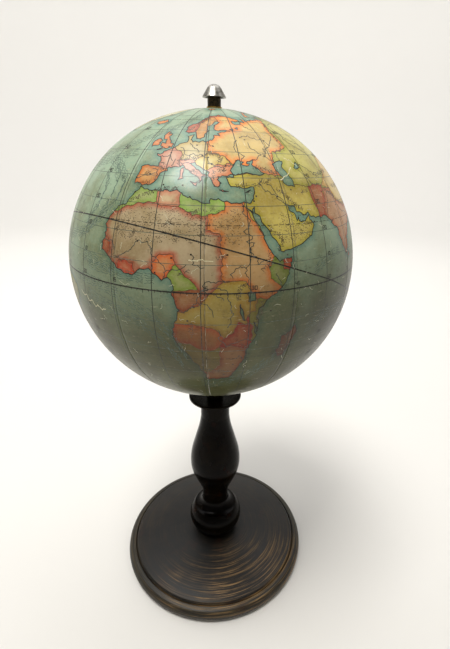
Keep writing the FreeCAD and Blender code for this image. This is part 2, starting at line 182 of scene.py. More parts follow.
GREEN = (160, 172, 106)
ICE = (200, 200, 168)


# ---------------------------------------------------------------- the map: outlines in degrees east and north
def trace(*numbers):
    """Points of an outline, given as longitude and latitude in turn."""
    return list(zip(numbers[0::2], numbers[1::2]))


def traces(*rows):
    return [trace(*numbers) for numbers in rows]


def coloured(*rows):
    """Outlines with their colours: a row is a colour and then the numbers of its outline."""
    return [(colour, trace(*numbers)) for colour, *numbers in rows]


AFRICA = trace(
    -5.9, 35.6, -2, 34.5, 1, 34.6, 5, 34.8, 9, 34.9, 10.2, 34, 11.5, 33, 15.2, 32, 18, 30.7, 20, 31, 20.2,
    32.3, 23, 32.4, 25, 31.6, 29, 30.9, 31.5, 31.5, 32.6, 31, 32.6, 29.8, 33.6, 28, 35.5, 24, 37.2, 21,
    37.3, 19, 38.6, 15.7, 40.4, 13, 41, 11.8, 42, 11, 44, 11.4, 46.6, 11.9, 46.4, 9.5, 45.2, 6, 43.8, 2.5,
    41, -0.5, 37.8, -2.8, 35.2, -5.2, 34.8, -7.5, 35.4, -10.6, 34.8, -15, 33.2, -17.8, 32.2, -19.8, 31.8,
    -23.8, 30.6, -26, 29.6, -28.8, 27.6, -33, 25, -34, 22, -34.2, 18.4, -34.2, 18.2, -31.8, 16.4, -28.6,
    14.4, -25, 13, -22.5, 9.4, -18, 8.2, -14.5, 8.6, -11, 10, -8, 10.6, -5.6, 9.5, -2.5, 8.6, -0.7, 9.2, 2,
    8.6, 4, 7.4, 4.9, 5.8, 3.9, 4, 5.6, 1.6, 7.6, -1.6, 6.8, -4, 5, -6.6, 4.8, -9.6, 6, -12.6, 8.6, -15,
    10.9, -16.8, 12.4, -17.4, 14.7, -16.4, 16.3, -16.3, 19.2, -17, 20.9, -16, 23.8, -14.4, 26.2, -12.9, 28,
    -9.8, 29.6, -9.4, 31.4, -7.5, 33.4)
EURASIA = trace(
    32.4, 31.2, 34.3, 31.4, 35.8, 34.5, 36, 36.6, 34.5, 36.7, 32.5, 36.1, 30.6, 36.8, 28.3, 36.6, 27.3,
    37.1, 26.4, 38.5, 26.2, 39.8, 28.9, 40.5, 29.1, 41.1, 31.4, 41.3, 33.3, 42, 36, 41.6, 38.5, 41, 41.5,
    41.6, 39, 43.9, 37.3, 45, 38, 46.8, 39.3, 47.2, 35.4, 46.3, 34.9, 45.6, 36.4, 45.3, 33.7, 44.5, 32.6,
    45.4, 33.6, 46.1, 31.5, 46.6, 29.7, 45.3, 28.6, 43.8, 27.9, 42.7, 28.8, 41.2, 26.2, 40.7, 23.8, 40.2,
    22.8, 40.4, 23, 39.2, 24.1, 38.1, 23.5, 37.7, 22.9, 36.5, 21.7, 36.8, 21.2, 38, 19.4, 40.4, 19.5, 41.8,
    16.2, 43.5, 13.7, 45.2, 12.3, 45.3, 12.4, 44.2, 13.7, 43.5, 15.9, 41.9, 18.4, 40, 16.9, 40.4, 17, 39,
    15.9, 37.9, 16.1, 39, 15.2, 40.1, 12.3, 41.6, 10.4, 43, 8.9, 44.4, 6.5, 43.2, 3.2, 43.2, 3.1, 41.9, 0.6,
    40.7, -0.3, 39.2, 0.1, 38.7, -0.8, 37.7, -2.2, 36.8, -5.5, 36.1, -6.4, 36.9, -8.9, 37, -9.4, 38.8, -8.7,
    41.3, -9.2, 43.1, -7.8, 43.7, -3.6, 43.5, -1.6, 43.4, -1.2, 45.8, -2.3, 47.2, -4.6, 48.1, -1.6, 48.6,
    -1.7, 49.7, 0.2, 49.6, 1.6, 50.8, 4.2, 52, 6.2, 53.4, 8.6, 53.9, 8.1, 56.5, 10.5, 57.6, 10.3, 56.2, 9.8,
    54.8, 11, 54, 14, 54.1, 18.6, 54.5, 21, 55.3, 21.3, 57.3, 22.6, 57.7, 24.3, 57.2, 23.5, 58.7, 28, 59.6,
    29.9, 59.9, 28, 60.5, 23, 59.9, 21.4, 61, 21.5, 63, 25.3, 65, 24, 65.8, 22, 65.5, 21, 64, 17.5, 62.3,
    17.3, 60.7, 18.8, 59.8, 16.6, 58.5, 16.3, 56.6, 14.2, 55.5, 12.8, 55.5, 11.3, 58.9, 10.6, 59.3, 8.2,
    58.1, 5.6, 58.9, 5, 61.8, 8.5, 63.5, 12.3, 65.5, 14.5, 67.8, 18.5, 69.6, 25.7, 71, 30.8, 69.9, 40, 67.7,
    41.1, 66.7, 38.2, 66.1, 34, 66.6, 34.8, 64.5, 38, 64, 40.4, 64.8, 39.9, 65.6, 44, 66, 43.4, 68.6, 46,
    67.8, 46.2, 66.9, 54, 68.3, 60, 68.6, 60.6, 69.8, 64.5, 69.3, 68.5, 68.3, 67, 69.7, 69.5, 72.9, 72.7,
    72.2, 73.5, 68.2, 73.6, 71.5, 80, 72.3, 81, 73.6, 87, 75, 98, 76.3, 104.3, 77.6, 113, 75.8, 109, 73.5,
    123.5, 73, 129, 71, 131, 70.8, 140, 72.5, 150, 71.5, 160, 69.7, 170, 69.2, 180, 68.8, 190, 66.2, 185,
    64.5, 179.5, 62.4, 170, 60, 164, 59.8, 163, 57.8, 162, 55, 156.8, 51, 155.7, 56.5, 161, 60.5, 164, 62.3,
    156, 61.6, 143, 59.4, 135.3, 54.7, 141.3, 53, 140.4, 48, 135, 43.4, 130.6, 42.3, 127.6, 39.8, 129.4, 37,
    129, 35.3, 126.5, 34.5, 126.6, 37.5, 124.8, 39.7, 121.2, 38.8, 121.8, 40.9, 117.8, 39, 119, 37.3, 122.4,
    37.2, 119.3, 35, 121.8, 31.7, 121.8, 29, 118.5, 24.6, 113.5, 22, 110, 20.5, 108.5, 21.7, 105.8, 19,
    108.9, 15.5, 109.3, 12, 106.8, 10.4, 105, 8.8, 104.8, 10.4, 102.5, 12, 100.9, 13.4, 99.3, 10.5, 100.4,
    7.2, 103.3, 4.5, 104, 1.4, 101.3, 2.8, 100.3, 5.8, 98.4, 8.2, 98.6, 12, 97.6, 16.5, 94.4, 16, 94, 19,
    91.8, 22.5, 88.8, 21.7, 86.9, 20.6, 85, 19.5, 82.2, 16.6, 80.1, 15, 80.2, 13, 79.8, 10.3, 78, 8.2, 76.3,
    10, 74.7, 13.5, 73, 17, 72.8, 20, 70.8, 20.8, 69, 22.3, 70, 22.8, 67.5, 23.9, 66.6, 25.3, 61.7, 25.1,
    57.3, 25.7, 56.8, 27.1, 54, 26.6, 51.4, 27.9, 50.1, 30.1, 48, 29.9, 48.2, 28.5, 50.2, 26.6, 51, 24.6,
    51.5, 25.9, 51.6, 24.3, 54, 24.1, 56.3, 26.3, 56.6, 24.5, 57.8, 23.6, 58.2, 22.5, 56.4, 20.3, 56, 18.9,
    53.8, 17.6, 50.6, 16, 47, 14.8, 44.6, 14.2, 43, 14.2, 42.2, 16, 40.9, 19, 39.1, 21.3, 37.2, 24.8, 35.2,
    28, 34.9, 29.5, 34.2, 27.8, 32.6, 29.9)
NORTH_AMERICA = trace(
    -168, 65.6, -162, 66.5, -166, 68.5, -156.5, 71.2, -141, 69.7, -128, 70.3, -115, 68.5, -108, 68, -96, 68,
    -94.5, 72, -88, 68.6, -81.5, 69, -86, 66.3, -94, 61.5, -94.3, 58.7, -88, 56.5, -82.3, 55, -80, 51.4,
    -78.7, 53, -76.7, 56.5, -78, 60.5, -73.5, 62.4, -69.5, 61, -65, 59, -61.5, 56.5, -56, 52.5, -60, 50.2,
    -66.3, 50.2, -70.5, 47, -65, 48.9, -64.5, 46.3, -61, 45.8, -65.8, 43.5, -67, 44.8, -70.5, 43, -70.2,
    41.7, -74, 40.6, -75.5, 38, -76, 35.2, -81, 31.8, -80.1, 26, -81.2, 25.2, -82.8, 28, -84, 30, -89.4, 30,
    -94.5, 29.5, -97.3, 27, -97.7, 22.5, -95.9, 18.9, -92, 18.6, -90.3, 21, -87, 21.5, -88.2, 17.5, -88,
    15.8, -83.3, 15, -83.6, 10.9, -81.5, 9, -79.5, 9.5, -77.2, 8.6, -79, 7.6, -83, 8.4, -85.8, 10.4, -87.6,
    13, -93.5, 15.8, -97, 15.9, -102, 18, -105.5, 20.3, -106, 22.8, -109.3, 25.6, -112.3, 29.3, -114.8,
    31.7, -112, 27.5, -110, 23.2, -112.3, 26, -115.5, 29.5, -117.2, 33, -120.6, 34.6, -122.4, 37.3, -124.3,
    40.5, -124, 46, -122.8, 49, -128, 51, -130.5, 55, -135.5, 58.5, -141, 60, -147, 61, -152, 59.2, -158,
    56.6, -164.5, 54.6, -160, 56.5, -157.5, 58.6, -162, 58.8, -165.5, 61.5, -161, 64.4)
SOUTH_AMERICA = trace(
    -77.2, 8.6, -75, 11, -71.5, 12.3, -70, 11.8, -68, 10.8, -62, 10.7, -57.2, 6, -52, 4.8, -50, 1, -48, -1,
    -44, -2.8, -39, -3.2, -35.2, -5.5, -35, -9, -38.7, -13.5, -39.5, -18.5, -41.5, -22.3, -48, -25.5, -48.8,
    -28.5, -52.5, -33, -54.5, -34.8, -58, -34, -56.7, -36.5, -62, -39, -65, -41.5, -64, -43, -67.5, -46.3,
    -66, -48, -69, -51.5, -66.5, -54.8, -71, -54.5, -74.5, -51.5, -74.5, -47, -73.3, -41.5, -73.5, -37.2,
    -71.5, -32.5, -70.3, -25.5, -70.2, -19, -76.2, -14, -79.5, -8, -81.3, -5, -80, -3, -80.2, 0.5, -77.5,
    3.5, -77.5, 7)
AUSTRALIA = trace(
    142.5, -10.8, 145.3, -15, 146.3, -19, 149.2, -20.8, 153, -25, 153.6, -28.5, 150.2, -37, 146.3, -38.9,
    143.5, -38.8, 139.7, -36.8, 138, -33.5, 135.8, -34.8, 131.2, -31.5, 124, -33, 118, -35, 115.2, -34.3,
    115.7, -31.6, 113.6, -26, 114, -22, 118.5, -20.3, 122.2, -18, 125.7, -14.4, 129.5, -15, 131, -12.3,
    136.8, -12.2, 135.5, -14.9, 139.5, -17.5, 141.6, -14)
GREENLAND = trace(
    -44, 60, -42, 62, -40, 65, -32, 68, -22, 70.5, -20, 75, -18, 80, -30, 83, -60, 82, -68, 80, -73, 78.5,
    -68, 76, -57, 75, -54, 70.5, -52.5, 66, -49, 61.5)
ANTARCTIC = trace(
    -66, -64, -57, -63, -60, -66, -64, -70, -72, -72, -76, -70, -69, -67)
VICTORIA = trace(
    165, -71, 171, -72, 164, -77, 176, -79, 158, -80, 150, -74, 140, -67, 150, -69)
ISLES = coloured(
    (AFRICAN_BROWN, 49.3, -12, 50.4, -15.6, 47, -24.9, 45.1, -25.5, 43.3, -22.3, 44.4, -19.8, 44.4, -16.2,
     47.9, -14.6),
    (ISLE_ORANGE, -5.7, 50.1, -3, 50.7, 1.4, 51.2, 1.7, 52.7, 0.2, 53.3, -1.6, 55.2, -3, 56, -1.8, 57.5, -4,
     57.7, -3.1, 58.6, -5, 58.6, -6.2, 56.7, -4.8, 54.8, -3.1, 54.8, -3, 53.4, -4.6, 53, -5.2, 51.9, -3,
     51.4),
    (ISLE_ORANGE, -6, 52.2, -9.8, 51.6, -10, 54.2, -8, 55.2, -5.6, 54.6),
    (ISLE_ORANGE, -22.5, 63.9, -18.7, 63.4, -13.6, 65, -16, 66.5, -20.5, 65.8, -24, 65.5),
    (RUSSIAN, 52, 71, 57.5, 70.7, 56, 73, 61, 75.3, 68.8, 76.9, 60, 76.2, 54, 73.5),
    (ISLE_ORANGE, 11, 79.3, 17, 76.7, 21.5, 78.5, 27, 80, 16, 80),
    (ROSE, 9.4, 43, 9.6, 41, 9.7, 39.2, 8.5, 39, 8.3, 40.8, 8.7, 42.4),
    (ROSE, 12.5, 38, 15.6, 38.2, 15.1, 36.7),
    (ROSE, 23.5, 35.5, 26.2, 35.2, 24.7, 34.9),
    (YELLOW, 32.4, 35, 34.5, 35.6, 33.6, 34.7),
    (INDIAN_BROWN, 80, 9.7, 81.8, 7.5, 80.6, 5.9, 79.8, 7.5),
    (TAN, 95.3, 5.6, 100.5, 1.8, 104.5, -2, 105.8, -5.8, 101, -2.8, 98, 1.8),
    (TAN, 105.3, -6.6, 110.8, -6.4, 114.4, -8, 108.5, -7.8),
    (TAN, 109, 1.5, 113, 3.2, 117, 7, 119, 5, 117.5, 0.5, 116, -4, 110.2, -2.8),
    (TAN, 119.5, -5.5, 120, 1, 125, 1.6, 120.5, 0.4, 121.3, -1, 123, -4.8, 120.8, -2.8),
    (GREEN, 131, -0.8, 134, -0.9, 138, -1.7, 144.5, -4, 147.5, -6, 150.5, -10.6, 146, -8.8, 143, -9.2, 138,
     -8.3, 137.5, -5, 133, -4),
    (ROSE, 120.5, 18.5, 122.2, 18.4, 121.6, 14.3, 124, 12.8, 120.2, 14.2),
    (ROSE, 122, 7.2, 125.5, 9.8, 126.4, 6.8, 124, 6.2),
    (YELLOW, 130, 33.7, 134, 35.6, 137, 37.3, 140, 41.2, 141.9, 39.5, 140.8, 35.7, 136, 33.6, 131.5, 31.5),
    (YELLOW, 140.2, 41.8, 141.7, 45.3, 145.2, 43.5, 142, 42.3),
    (SIBERIAN, 142, 46.5, 142.5, 54, 144.5, 49),
    (GREEN, 121.6, 25.2, 121.6, 24, 120.8, 22, 120.2, 23.2),
    (ROSE, 144.8, -40.9, 148.3, -40.9, 147, -43.5, 145.8, -42.8),
    (ROSE, 172.7, -34.5, 178.3, -37.8, 175, -41.5, 174.8, -38),
    (ROSE, 172.7, -40.6, 174, -41.8, 171, -44.5, 168.5, -46.6, 166.6, -45.8, 171, -42.5),
    (YELLOW, -84.8, 21.9, -80, 23.1, -74.3, 20.2, -77.5, 19.9, -82, 22.4),
    (GREEN, -74, 19.8, -68.5, 18.6, -74.4, 18.3),
    (ROSE, -59.3, 47.7, -55.5, 51.5, -53, 47),
    (ROSE, -80, 73.6, -68, 69.5, -62, 66.5, -65.5, 62, -73, 64.5, -78, 69.5, -88, 71, -85, 73.7),
    (ROSE, -115, 73, -105, 73, -102, 70, -115, 69, -118, 71.5),
    (ROSE, -90, 77, -78, 77, -62, 82.5, -85, 81.5, -94, 80)) + [(ICE, ANTARCTIC), (ICE, VICTORIA)]
MAINLANDS = [(TAN, AFRICA), (SIBERIAN, EURASIA), (ROSE, NORTH_AMERICA), (GREEN, SOUTH_AMERICA),
             (ROSE, AUSTRALIA), (ICE, GREENLAND)]
COUNTRIES = coloured(
    (MOROCCO, -19, 25, -13.6, 26, -10.6, 28, -5, 29.8, 1.6, 30.6, 1.4, 38, -11, 38),
    (SENEGAL, -19, 18, -14.6, 16.6, -13.4, 13, -14.5, 10, -18, 9),
    (ALGERIAN, 1.4, 38, 1.6, 30.6, 3, 29.6, 9.8, 29.4, 9.8, 38),
    (LIBYAN, 9.8, 38, 9.8, 29.4, 14.5, 27, 19.4, 26.4, 25, 28.4, 25, 34, 15, 36),
    (EGYPTIAN, 25, 34, 25, 28.6, 19.6, 26.8, 19.2, 21.8, 23.6, 20.4, 23.2, 16, 24, 12, 23.4, 8, 24, 4.2, 31,
     4.6, 32.8, 0.4, 34.6, -2, 36.4, -6, 44, -1, 42, 2.5, 39, 5, 38.6, 8.5, 40.6, 13.4, 36, 22, 34, 34),
    (SOMALI, 42, 2, 39, 5, 38.6, 8.5, 40.6, 13.4, 43, 12.6, 43.6, 7.8, 48, 7, 44, 0),
    (HORN, 43, 13, 43.6, 7.8, 48, 7, 48, 13),
    (LIBERIAN, -9.8, 9.2, -7, 10, -4.2, 8.6, -3, 3, -10.6, 3.4),
    (NIGERIAN, 2.4, 5, 2.6, 10, 4.6, 13, 9, 13, 9.8, 9.6, 7.4, 6, 6.6, 3, 3, 3),
    (CAMEROON, 6.6, 4, 7.4, 6, 9.8, 9.6, 13, 6, 16.6, 1.6, 12, 0.6, 8, 0.4),
    (FRENCH_CONGO, 7, 0.4, 12, 0.6, 16.6, 1.6, 19.6, -1, 16.4, -3.8, 12, -6, 8, -4),
    (CONGO, 24, 4.2, 31, 4.6, 32.8, 0.4, 34.6, -2, 34, -6, 31.4, -10.4, 29, -9, 27, -13.4, 24.4, -14.6, 22,
     -11.6, 15, -10, 6, -10.4, 8.6, -6.4, 12, -6, 16.4, -3.8, 19.6, -1),
    (GERMAN_EAST, 34.6, -2, 34, -6, 31.6, -6.8, 33.6, -11, 33.4, -17, 40, -16, 40, -2),
    (ANGOLAN, 6, -10.2, 15, -10, 22, -11.6, 24.4, -14.6, 23, -18.4, 20, -19.8, 16.4, -19.2, 13.4, -17.2, 6,
     -17),
    (RHODESIAN, 24.4, -14.6, 27, -13.4, 29, -9, 31.4, -10.4, 31.6, -6.8, 33.6, -11, 33.4, -20, 28, -18, 23,
     -18.4),
    (SOUTH_WEST, 6, -17, 13.4, -17.2, 16.4, -19.2, 20, -19.8, 23, -18.4, 23.4, -26, 20, -30, 14, -29),
    (CAPE, 23, -18.4, 28, -18, 33.4, -20, 33, -28, 27, -36, 16, -36, 15, -29, 20, -30, 23.4, -26),
    (SPANISH, -10, 35.9, 1, 36.5, 4, 42.3, -1.6, 43.3, -4, 44.5, -10, 44.5),
    (ROSE, -1.6, 43.3, 3.2, 42.4, 7.6, 43.4, 7, 46, 7.8, 49, 2.5, 51.3, -6, 49.5, -3, 45),
    (GERMAN, 2.5, 51.3, 7.8, 49, 7, 46, 13.5, 46.4, 17, 48, 19, 49.5, 17.8, 54, 20, 57, 8, 58.5, 3, 53.5),
    (ROSE, 6.8, 46, 13.5, 46.4, 13.6, 45.3, 19.2, 40.6, 19, 37, 8, 42.8),
    (AUSTRIAN, 13.5, 46.4, 17, 48, 19, 49.5, 26, 48, 28, 45.3, 22, 44.5, 18.6, 42.3, 13.5, 45),
    (BALKAN, 18.6, 42.3, 22, 44.5, 28, 45.3, 30, 44, 29.2, 41, 25.8, 40.4, 24.5, 36, 20, 36),
    (NORWEGIAN, 3, 57.6, 10.8, 58.9, 12, 61.5, 12.4, 64, 16, 68, 21, 69, 31, 70, 31, 72, 12, 72),
    (SWEDISH, 10.8, 58.9, 12, 61.5, 12.4, 64, 16, 68, 21, 69, 24, 66.2, 24, 62, 19, 55, 12, 54.9),
    (RUSSIAN, 17.8, 54.6, 19, 50, 26, 48, 28.4, 45.3, 31, 44.4, 36.5, 44.2, 41.5, 41.5, 45, 41.2, 49.6, 41,
     48, 46.4, 50, 50.6, 55, 51, 61, 53.6, 59.4, 61, 65, 67.6, 69, 70, 44, 71, 31, 70.4, 21, 69, 24, 66.2,
     20, 60),
    (YELLOW, 25.6, 40.6, 29.2, 41.1, 41.5, 41.9, 45, 41.2, 50, 38.4, 55, 37.6, 61, 36.6, 61, 31, 62.6, 27,
     61.6, 24, 60, 22, 57, 16, 43, 11, 31.5, 30, 33, 34, 27, 36),
    (AFGHAN, 61, 36.6, 66, 37.4, 71.5, 37, 70, 34, 69.4, 31.4, 67, 28, 66.6, 24, 61.6, 24, 62.6, 27, 61,
     31),
    (INDIAN_BROWN, 66.6, 24, 67, 28, 69.4, 31.4, 71.5, 36, 78, 35.4, 79, 31, 88, 27.8, 97, 28, 97.5, 24,
     98.8, 15, 98.4, 9, 92, 9, 82, 4, 74, 6, 67, 20),
    (CHINESE, 71.5, 37, 80, 42, 87, 49, 98, 50, 117, 50, 121, 53.4, 131, 47.8, 131, 42, 124, 39.8, 123, 24,
     108, 21.4, 104, 22.6, 98, 24, 97, 28, 88, 27.8, 79, 31, 78, 35.4),
    (GREEN, 98, 24, 104, 22.6, 108, 21.4, 111, 16, 107, 8, 103, 8, 105.6, 14.4, 100.6, 18, 98.6, 20),
    (TAN, 98.6, 20, 100.6, 18, 105.6, 14.4, 103, 10, 104.6, 0.8, 97.8, 8, 97.6, 16),
    (GREEN, -124.6, 49, -95, 49, -83, 46, -82.6, 42, -79, 43.2, -71.5, 45, -67, 47.2, -66, 44, -79, 24, -97,
     25.8, -103, 29.4, -106.5, 31.8, -117, 32.6, -126, 40),
    (YELLOW, -117, 32.6, -106.5, 31.8, -103, 29.4, -97, 25.8, -85, 22, -87, 16, -92.2, 14.4, -118, 28),
    (TAN, -141, 70.4, -141, 60.3, -134, 57, -130, 55.2, -150, 52, -172, 54, -172, 71),
    (YELLOW, -78, 8.6, -70, 12.6, -60, 8.8, -60, 5, -64, 2, -70, -4.2, -76, 0, -82, 2),
    (TAN, -82, -3, -76, 0, -70, -4.2, -72.6, -9.6, -65.4, -10.4, -58.2, -16.4, -57.8, -20, -62.6, -22.2,
     -69, -22, -71, -17),
    (ROSE, -69, -22, -62.6, -22.2, -57.6, -25.4, -54, -26.6, -58, -33.8, -54, -37, -62, -57, -78, -56))
LAKES = traces(
    (47, 45.3, 49.5, 46.6, 53, 46.8, 51, 44.5, 52.8, 41.5, 53.9, 39, 53.8, 36.9, 50.2, 37.4, 48.9, 38.5,
     49.6, 40.4, 47.5, 43), (58.3, 44.2, 61, 46.6, 61.7, 44.4, 59, 43.4),
    (31.8, 0.2, 34, 0.2, 34, -2.2, 32, -2.7), (29.3, -3.4, 30.1, -5.6, 31, -8.7, 30.3, -8.5, 29.2, -5.8),
    (34, -9.6, 34.8, -11.5, 35, -14.2, 34.3, -12.6), (103.8, 51.6, 108, 53.2, 109.9, 55.6, 107.3, 52.6),
    (31, 61, 33, 61.2, 32.6, 60.1), (34.6, 61.8, 36.2, 62.3, 36, 61),
    (-92, 46.8, -86, 48.8, -84.6, 46.6, -88, 46.8), (-87.8, 42, -87, 45, -85, 45.8, -86.4, 42.4),
    (-84.4, 45.6, -80.4, 45.6, -82.4, 43.2), (-83, 41.8, -79, 42.9, -76.6, 43.6, -79.4, 43.6))
RIVERS = traces(
    (31.4, 31, 31, 28, 33, 25.5, 32.8, 23.4, 31, 21.6, 33.6, 19.4, 31.8, 18, 34, 17.4, 32.6, 15.6, 32.6, 12,
     31.5, 9.4, 30.8, 7.6, 31.8, 4.6, 31.4, 2, 32.8, 0.4), (32.6, 15.6, 34.6, 12, 35.2, 10, 37.4, 11.8),
    (31.5, 9.4, 28, 9, 26.4, 7.6, 27, 5.4),
    (12.4, -6, 15.3, -4.3, 16.4, -2, 18, 0.8, 20.6, 2, 23.6, 1.8, 25.2, 0.4, 26, -3, 27, -6, 26.4, -9.4,
     25.4, -11), (18, 0.8, 18.6, 4.2, 22.4, 4.2, 26, 4.6), (16.6, -3, 20, -3.6, 21, -7),
    (18, 0.8, 22, -0.4, 24, -2),
    (6, 4.4, 6.8, 7.6, 4.6, 11, 2.4, 12.4, 1, 16.6, -2.8, 16.8, -5, 14, -8, 12, -10, 10),
    (6.8, 7.6, 10, 8, 13, 9.4), (-16.4, 15.9, -13, 15.6, -11.4, 12.6),
    (36, -18.6, 33.4, -16, 30.4, -15.6, 27, -17.4, 25, -17.8, 23, -14.6, 23, -12),
    (16.6, -28.6, 20, -28.6, 24.4, -29.4, 27, -30), (32.8, -25, 30, -22.4, 27, -24),
    (14.8, 12.8, 15.6, 10, 18.4, 9), (42.4, -0.2, 42.6, 3, 40.6, 6), (8.6, 47.6, 8, 50, 6, 51.8),
    (9, 48, 13, 48.6, 17, 48, 19, 47, 19, 45.2, 23, 43.8, 27, 44.2, 29.6, 45.2),
    (33, 46.6, 34.8, 48.2, 31, 50.4, 31, 53.4, 33, 55), (39.4, 47.2, 43, 49, 39, 52, 38.8, 54),
    (48, 46.2, 45, 48.6, 47, 51.6, 50, 53.4, 48.6, 55.8, 44, 56.4, 40, 57.8, 35, 57),
    (51.8, 47, 51.4, 51, 56, 51.6, 59, 54), (50, 53.4, 54, 56, 56.6, 59, 54, 61),
    (40.6, 64.6, 42.4, 62.6, 46, 61), (21, 52.2, 19, 53.4, 18.8, 54.3), (10, 53.6, 12, 51.6, 15, 50),
    (-1, 45.4, 1, 44), (-2, 47.2, 2, 47.8, 4, 45.2), (4.8, 43.4, 4.8, 46), (-8.8, 38.8, -6, 39.6, -2, 40.6),
    (-0.8, 38, -0.8, 41.8, -3, 42.8), (12.2, 45, 7.8, 45),
    (48.2, 30, 45.8, 31.4, 43, 34, 40, 35.6, 38.2, 37.8, 40, 39.6), (47, 31, 45, 33.4, 43, 36.6, 41, 38.2),
    (67.6, 24.2, 68.4, 27.6, 71, 30.4, 72, 33.6, 75, 34.6, 79, 32.6), (88, 22, 87, 25, 82, 25.6, 78, 29.6),
    (59.6, 43.8, 62, 41, 65, 37.4, 70, 37.6), (61, 46, 65, 44.4, 69, 42, 75, 42),
    (73, 67, 67, 65.6, 66, 61.6, 69, 58, 75, 55.6, 81, 52.6), (69, 61, 66, 57, 70, 54, 80, 49),
    (82, 71, 87, 66, 88, 60, 92, 56), (127, 72, 124, 66, 130, 62, 117, 60, 107, 54.4),
    (121.6, 31.6, 117, 30.6, 112, 30, 106.6, 29.6, 101, 26.4, 97, 32),
    (118.8, 37.6, 114, 34.8, 110, 35, 110, 40, 106, 38.6, 103, 35.8), (106.6, 10, 105, 15, 101, 19, 98, 26),
    (95, 16.4, 95, 21, 97, 26), (140, 53, 134.6, 48.4, 128, 49.6, 121, 53),
    (-90, 29.4, -91, 33, -89, 37, -91, 41, -94, 45.6), (-89, 37, -95, 39, -98, 43, -104, 47.6, -110, 47.4),
    (-50, -0.6, -56, -2.4, -62, -3.4, -68, -3, -73, -4), (-58, -34, -58.6, -29, -54.6, -25.6, -50, -20.6),
    (-134, 69, -128, 65, -121, 61.4, -113, 59), (-165, 62.4, -156, 64.8, -145, 66, -135, 61),
    (144, -38, 139.6, -34.6, 142, -34, 147, -36))
RANGES = traces(
    (-9, 30.4, -5, 32.4, -1, 34, 4, 35.4, 9, 35.6), (6.4, 44.4, 8, 46.2, 11, 47, 15, 47.2),
    (-1, 42.9, 2, 42.5), (17.4, 49, 22, 49, 25, 47, 23, 45.2), (38, 44.2, 43, 43.2, 48, 41.4),
    (59, 52, 59, 58, 60, 63, 65, 67), (7, 60, 9, 62, 14, 65.6, 18, 68.2), (36, 8, 38.6, 10.6, 38.4, 14),
    (29, -29.6, 28.2, -31, 24, -32.4), (5, 23, 8, 24.6), (16.6, 20, 19, 21.6),
    (45, 36, 48, 33.6, 52, 30, 55, 28), (36, 37.4, 41, 38.6, 44, 39.6),
    (73, 35, 78, 32.4, 83, 29, 90, 28.2, 96, 29), (70, 40.6, 78, 42.2, 86, 43),
    (86, 49.6, 92, 50.6, 100, 51.4), (82, 36.4, 90, 36, 98, 37),
    (-120, 53, -114, 47, -110, 42, -106, 38, -105, 33), (-104, 25, -99, 19.6),
    (-76, 5, -78.6, -2, -77, -9, -70, -16, -68, -24, -70, -32, -72, -42), (-84, 34, -79, 38.6, -74, 43),
    (146, -18, 150, -28, 148, -36), (46.4, -15, 46.8, -20, 46, -24), (142, 36, 138, 36),
    (-12, 20, -9.6, 21.4), (-6, 18, -3.4, 20.4), (9, 18, 9.6, 20.2), (13, 27, 17, 28.6),
    (22.6, 12.6, 25, 13.6), (-12, 11, -8.6, 9.2), (11, 6, 14, 8.6), (28.6, -1.6, 29, 2, 31, 4),
    (36.4, -3, 35.6, -8, 34, -10.8), (14, -9.6, 14.4, -14), (18, -23, 17.4, -27), (30, -17.6, 32.6, -19.4),
    (42, 14, 44, 17.6, 42, 20, 40, 23), (55, 23.6, 57.4, 22.8), (30, 37.4, 33.6, 37.2),
    (13, 42.6, 15.6, 40.8), (21, 42, 21.4, 39), (23, 42.8, 26.6, 42.6), (-6, 40.4, -3.6, 41),
    (-4, 37.2, -2, 37.4), (44, 49, 47, 52.4), (56, 34.4, 60, 35.6))
CURRENTS = traces(
    (-76, 36, -64, 40, -50, 43.6, -36, 47, -22, 51.6, -10, 56.6, 2, 62.6, 10, 69),
    (-72, 33, -58, 37, -44, 41, -30, 44, -16, 47.6),
    (-30, 44, -20, 41, -14, 36, -15, 29, -20, 22, -28, 16, -40, 12.6, -54, 11),
    (-24, 42, -18, 36, -18.4, 28, -23, 20, -31, 13.6), (-27, 39, -23, 33, -24, 26, -29, 19),
    (12, -24, 8, -16, 2, -10, -8, -5, -20, -2.4, -32, -2), (10, -28, 5, -19, -3, -12.6, -14, -9, -26, -7),
    (-24, 3.6, -15, 3.4, -6, 2.4, 3, 2.6), (-28, 6.4, -20, 6, -12, 4),
    (40, -28, 34, -34, 26, -37.6, 16, -39), (44, -26, 38, -33, 30, -38, 18, -41.4),
    (90, -14, 76, -13, 62, -14, 54, -17), (56, 4, 64, 8, 72, 10),
    (140, 33, 154, 37, 168, 40, 182, 42, 200, 44), (-84, -30, -86, -20, -92, -10, -106, -5, -126, -4))
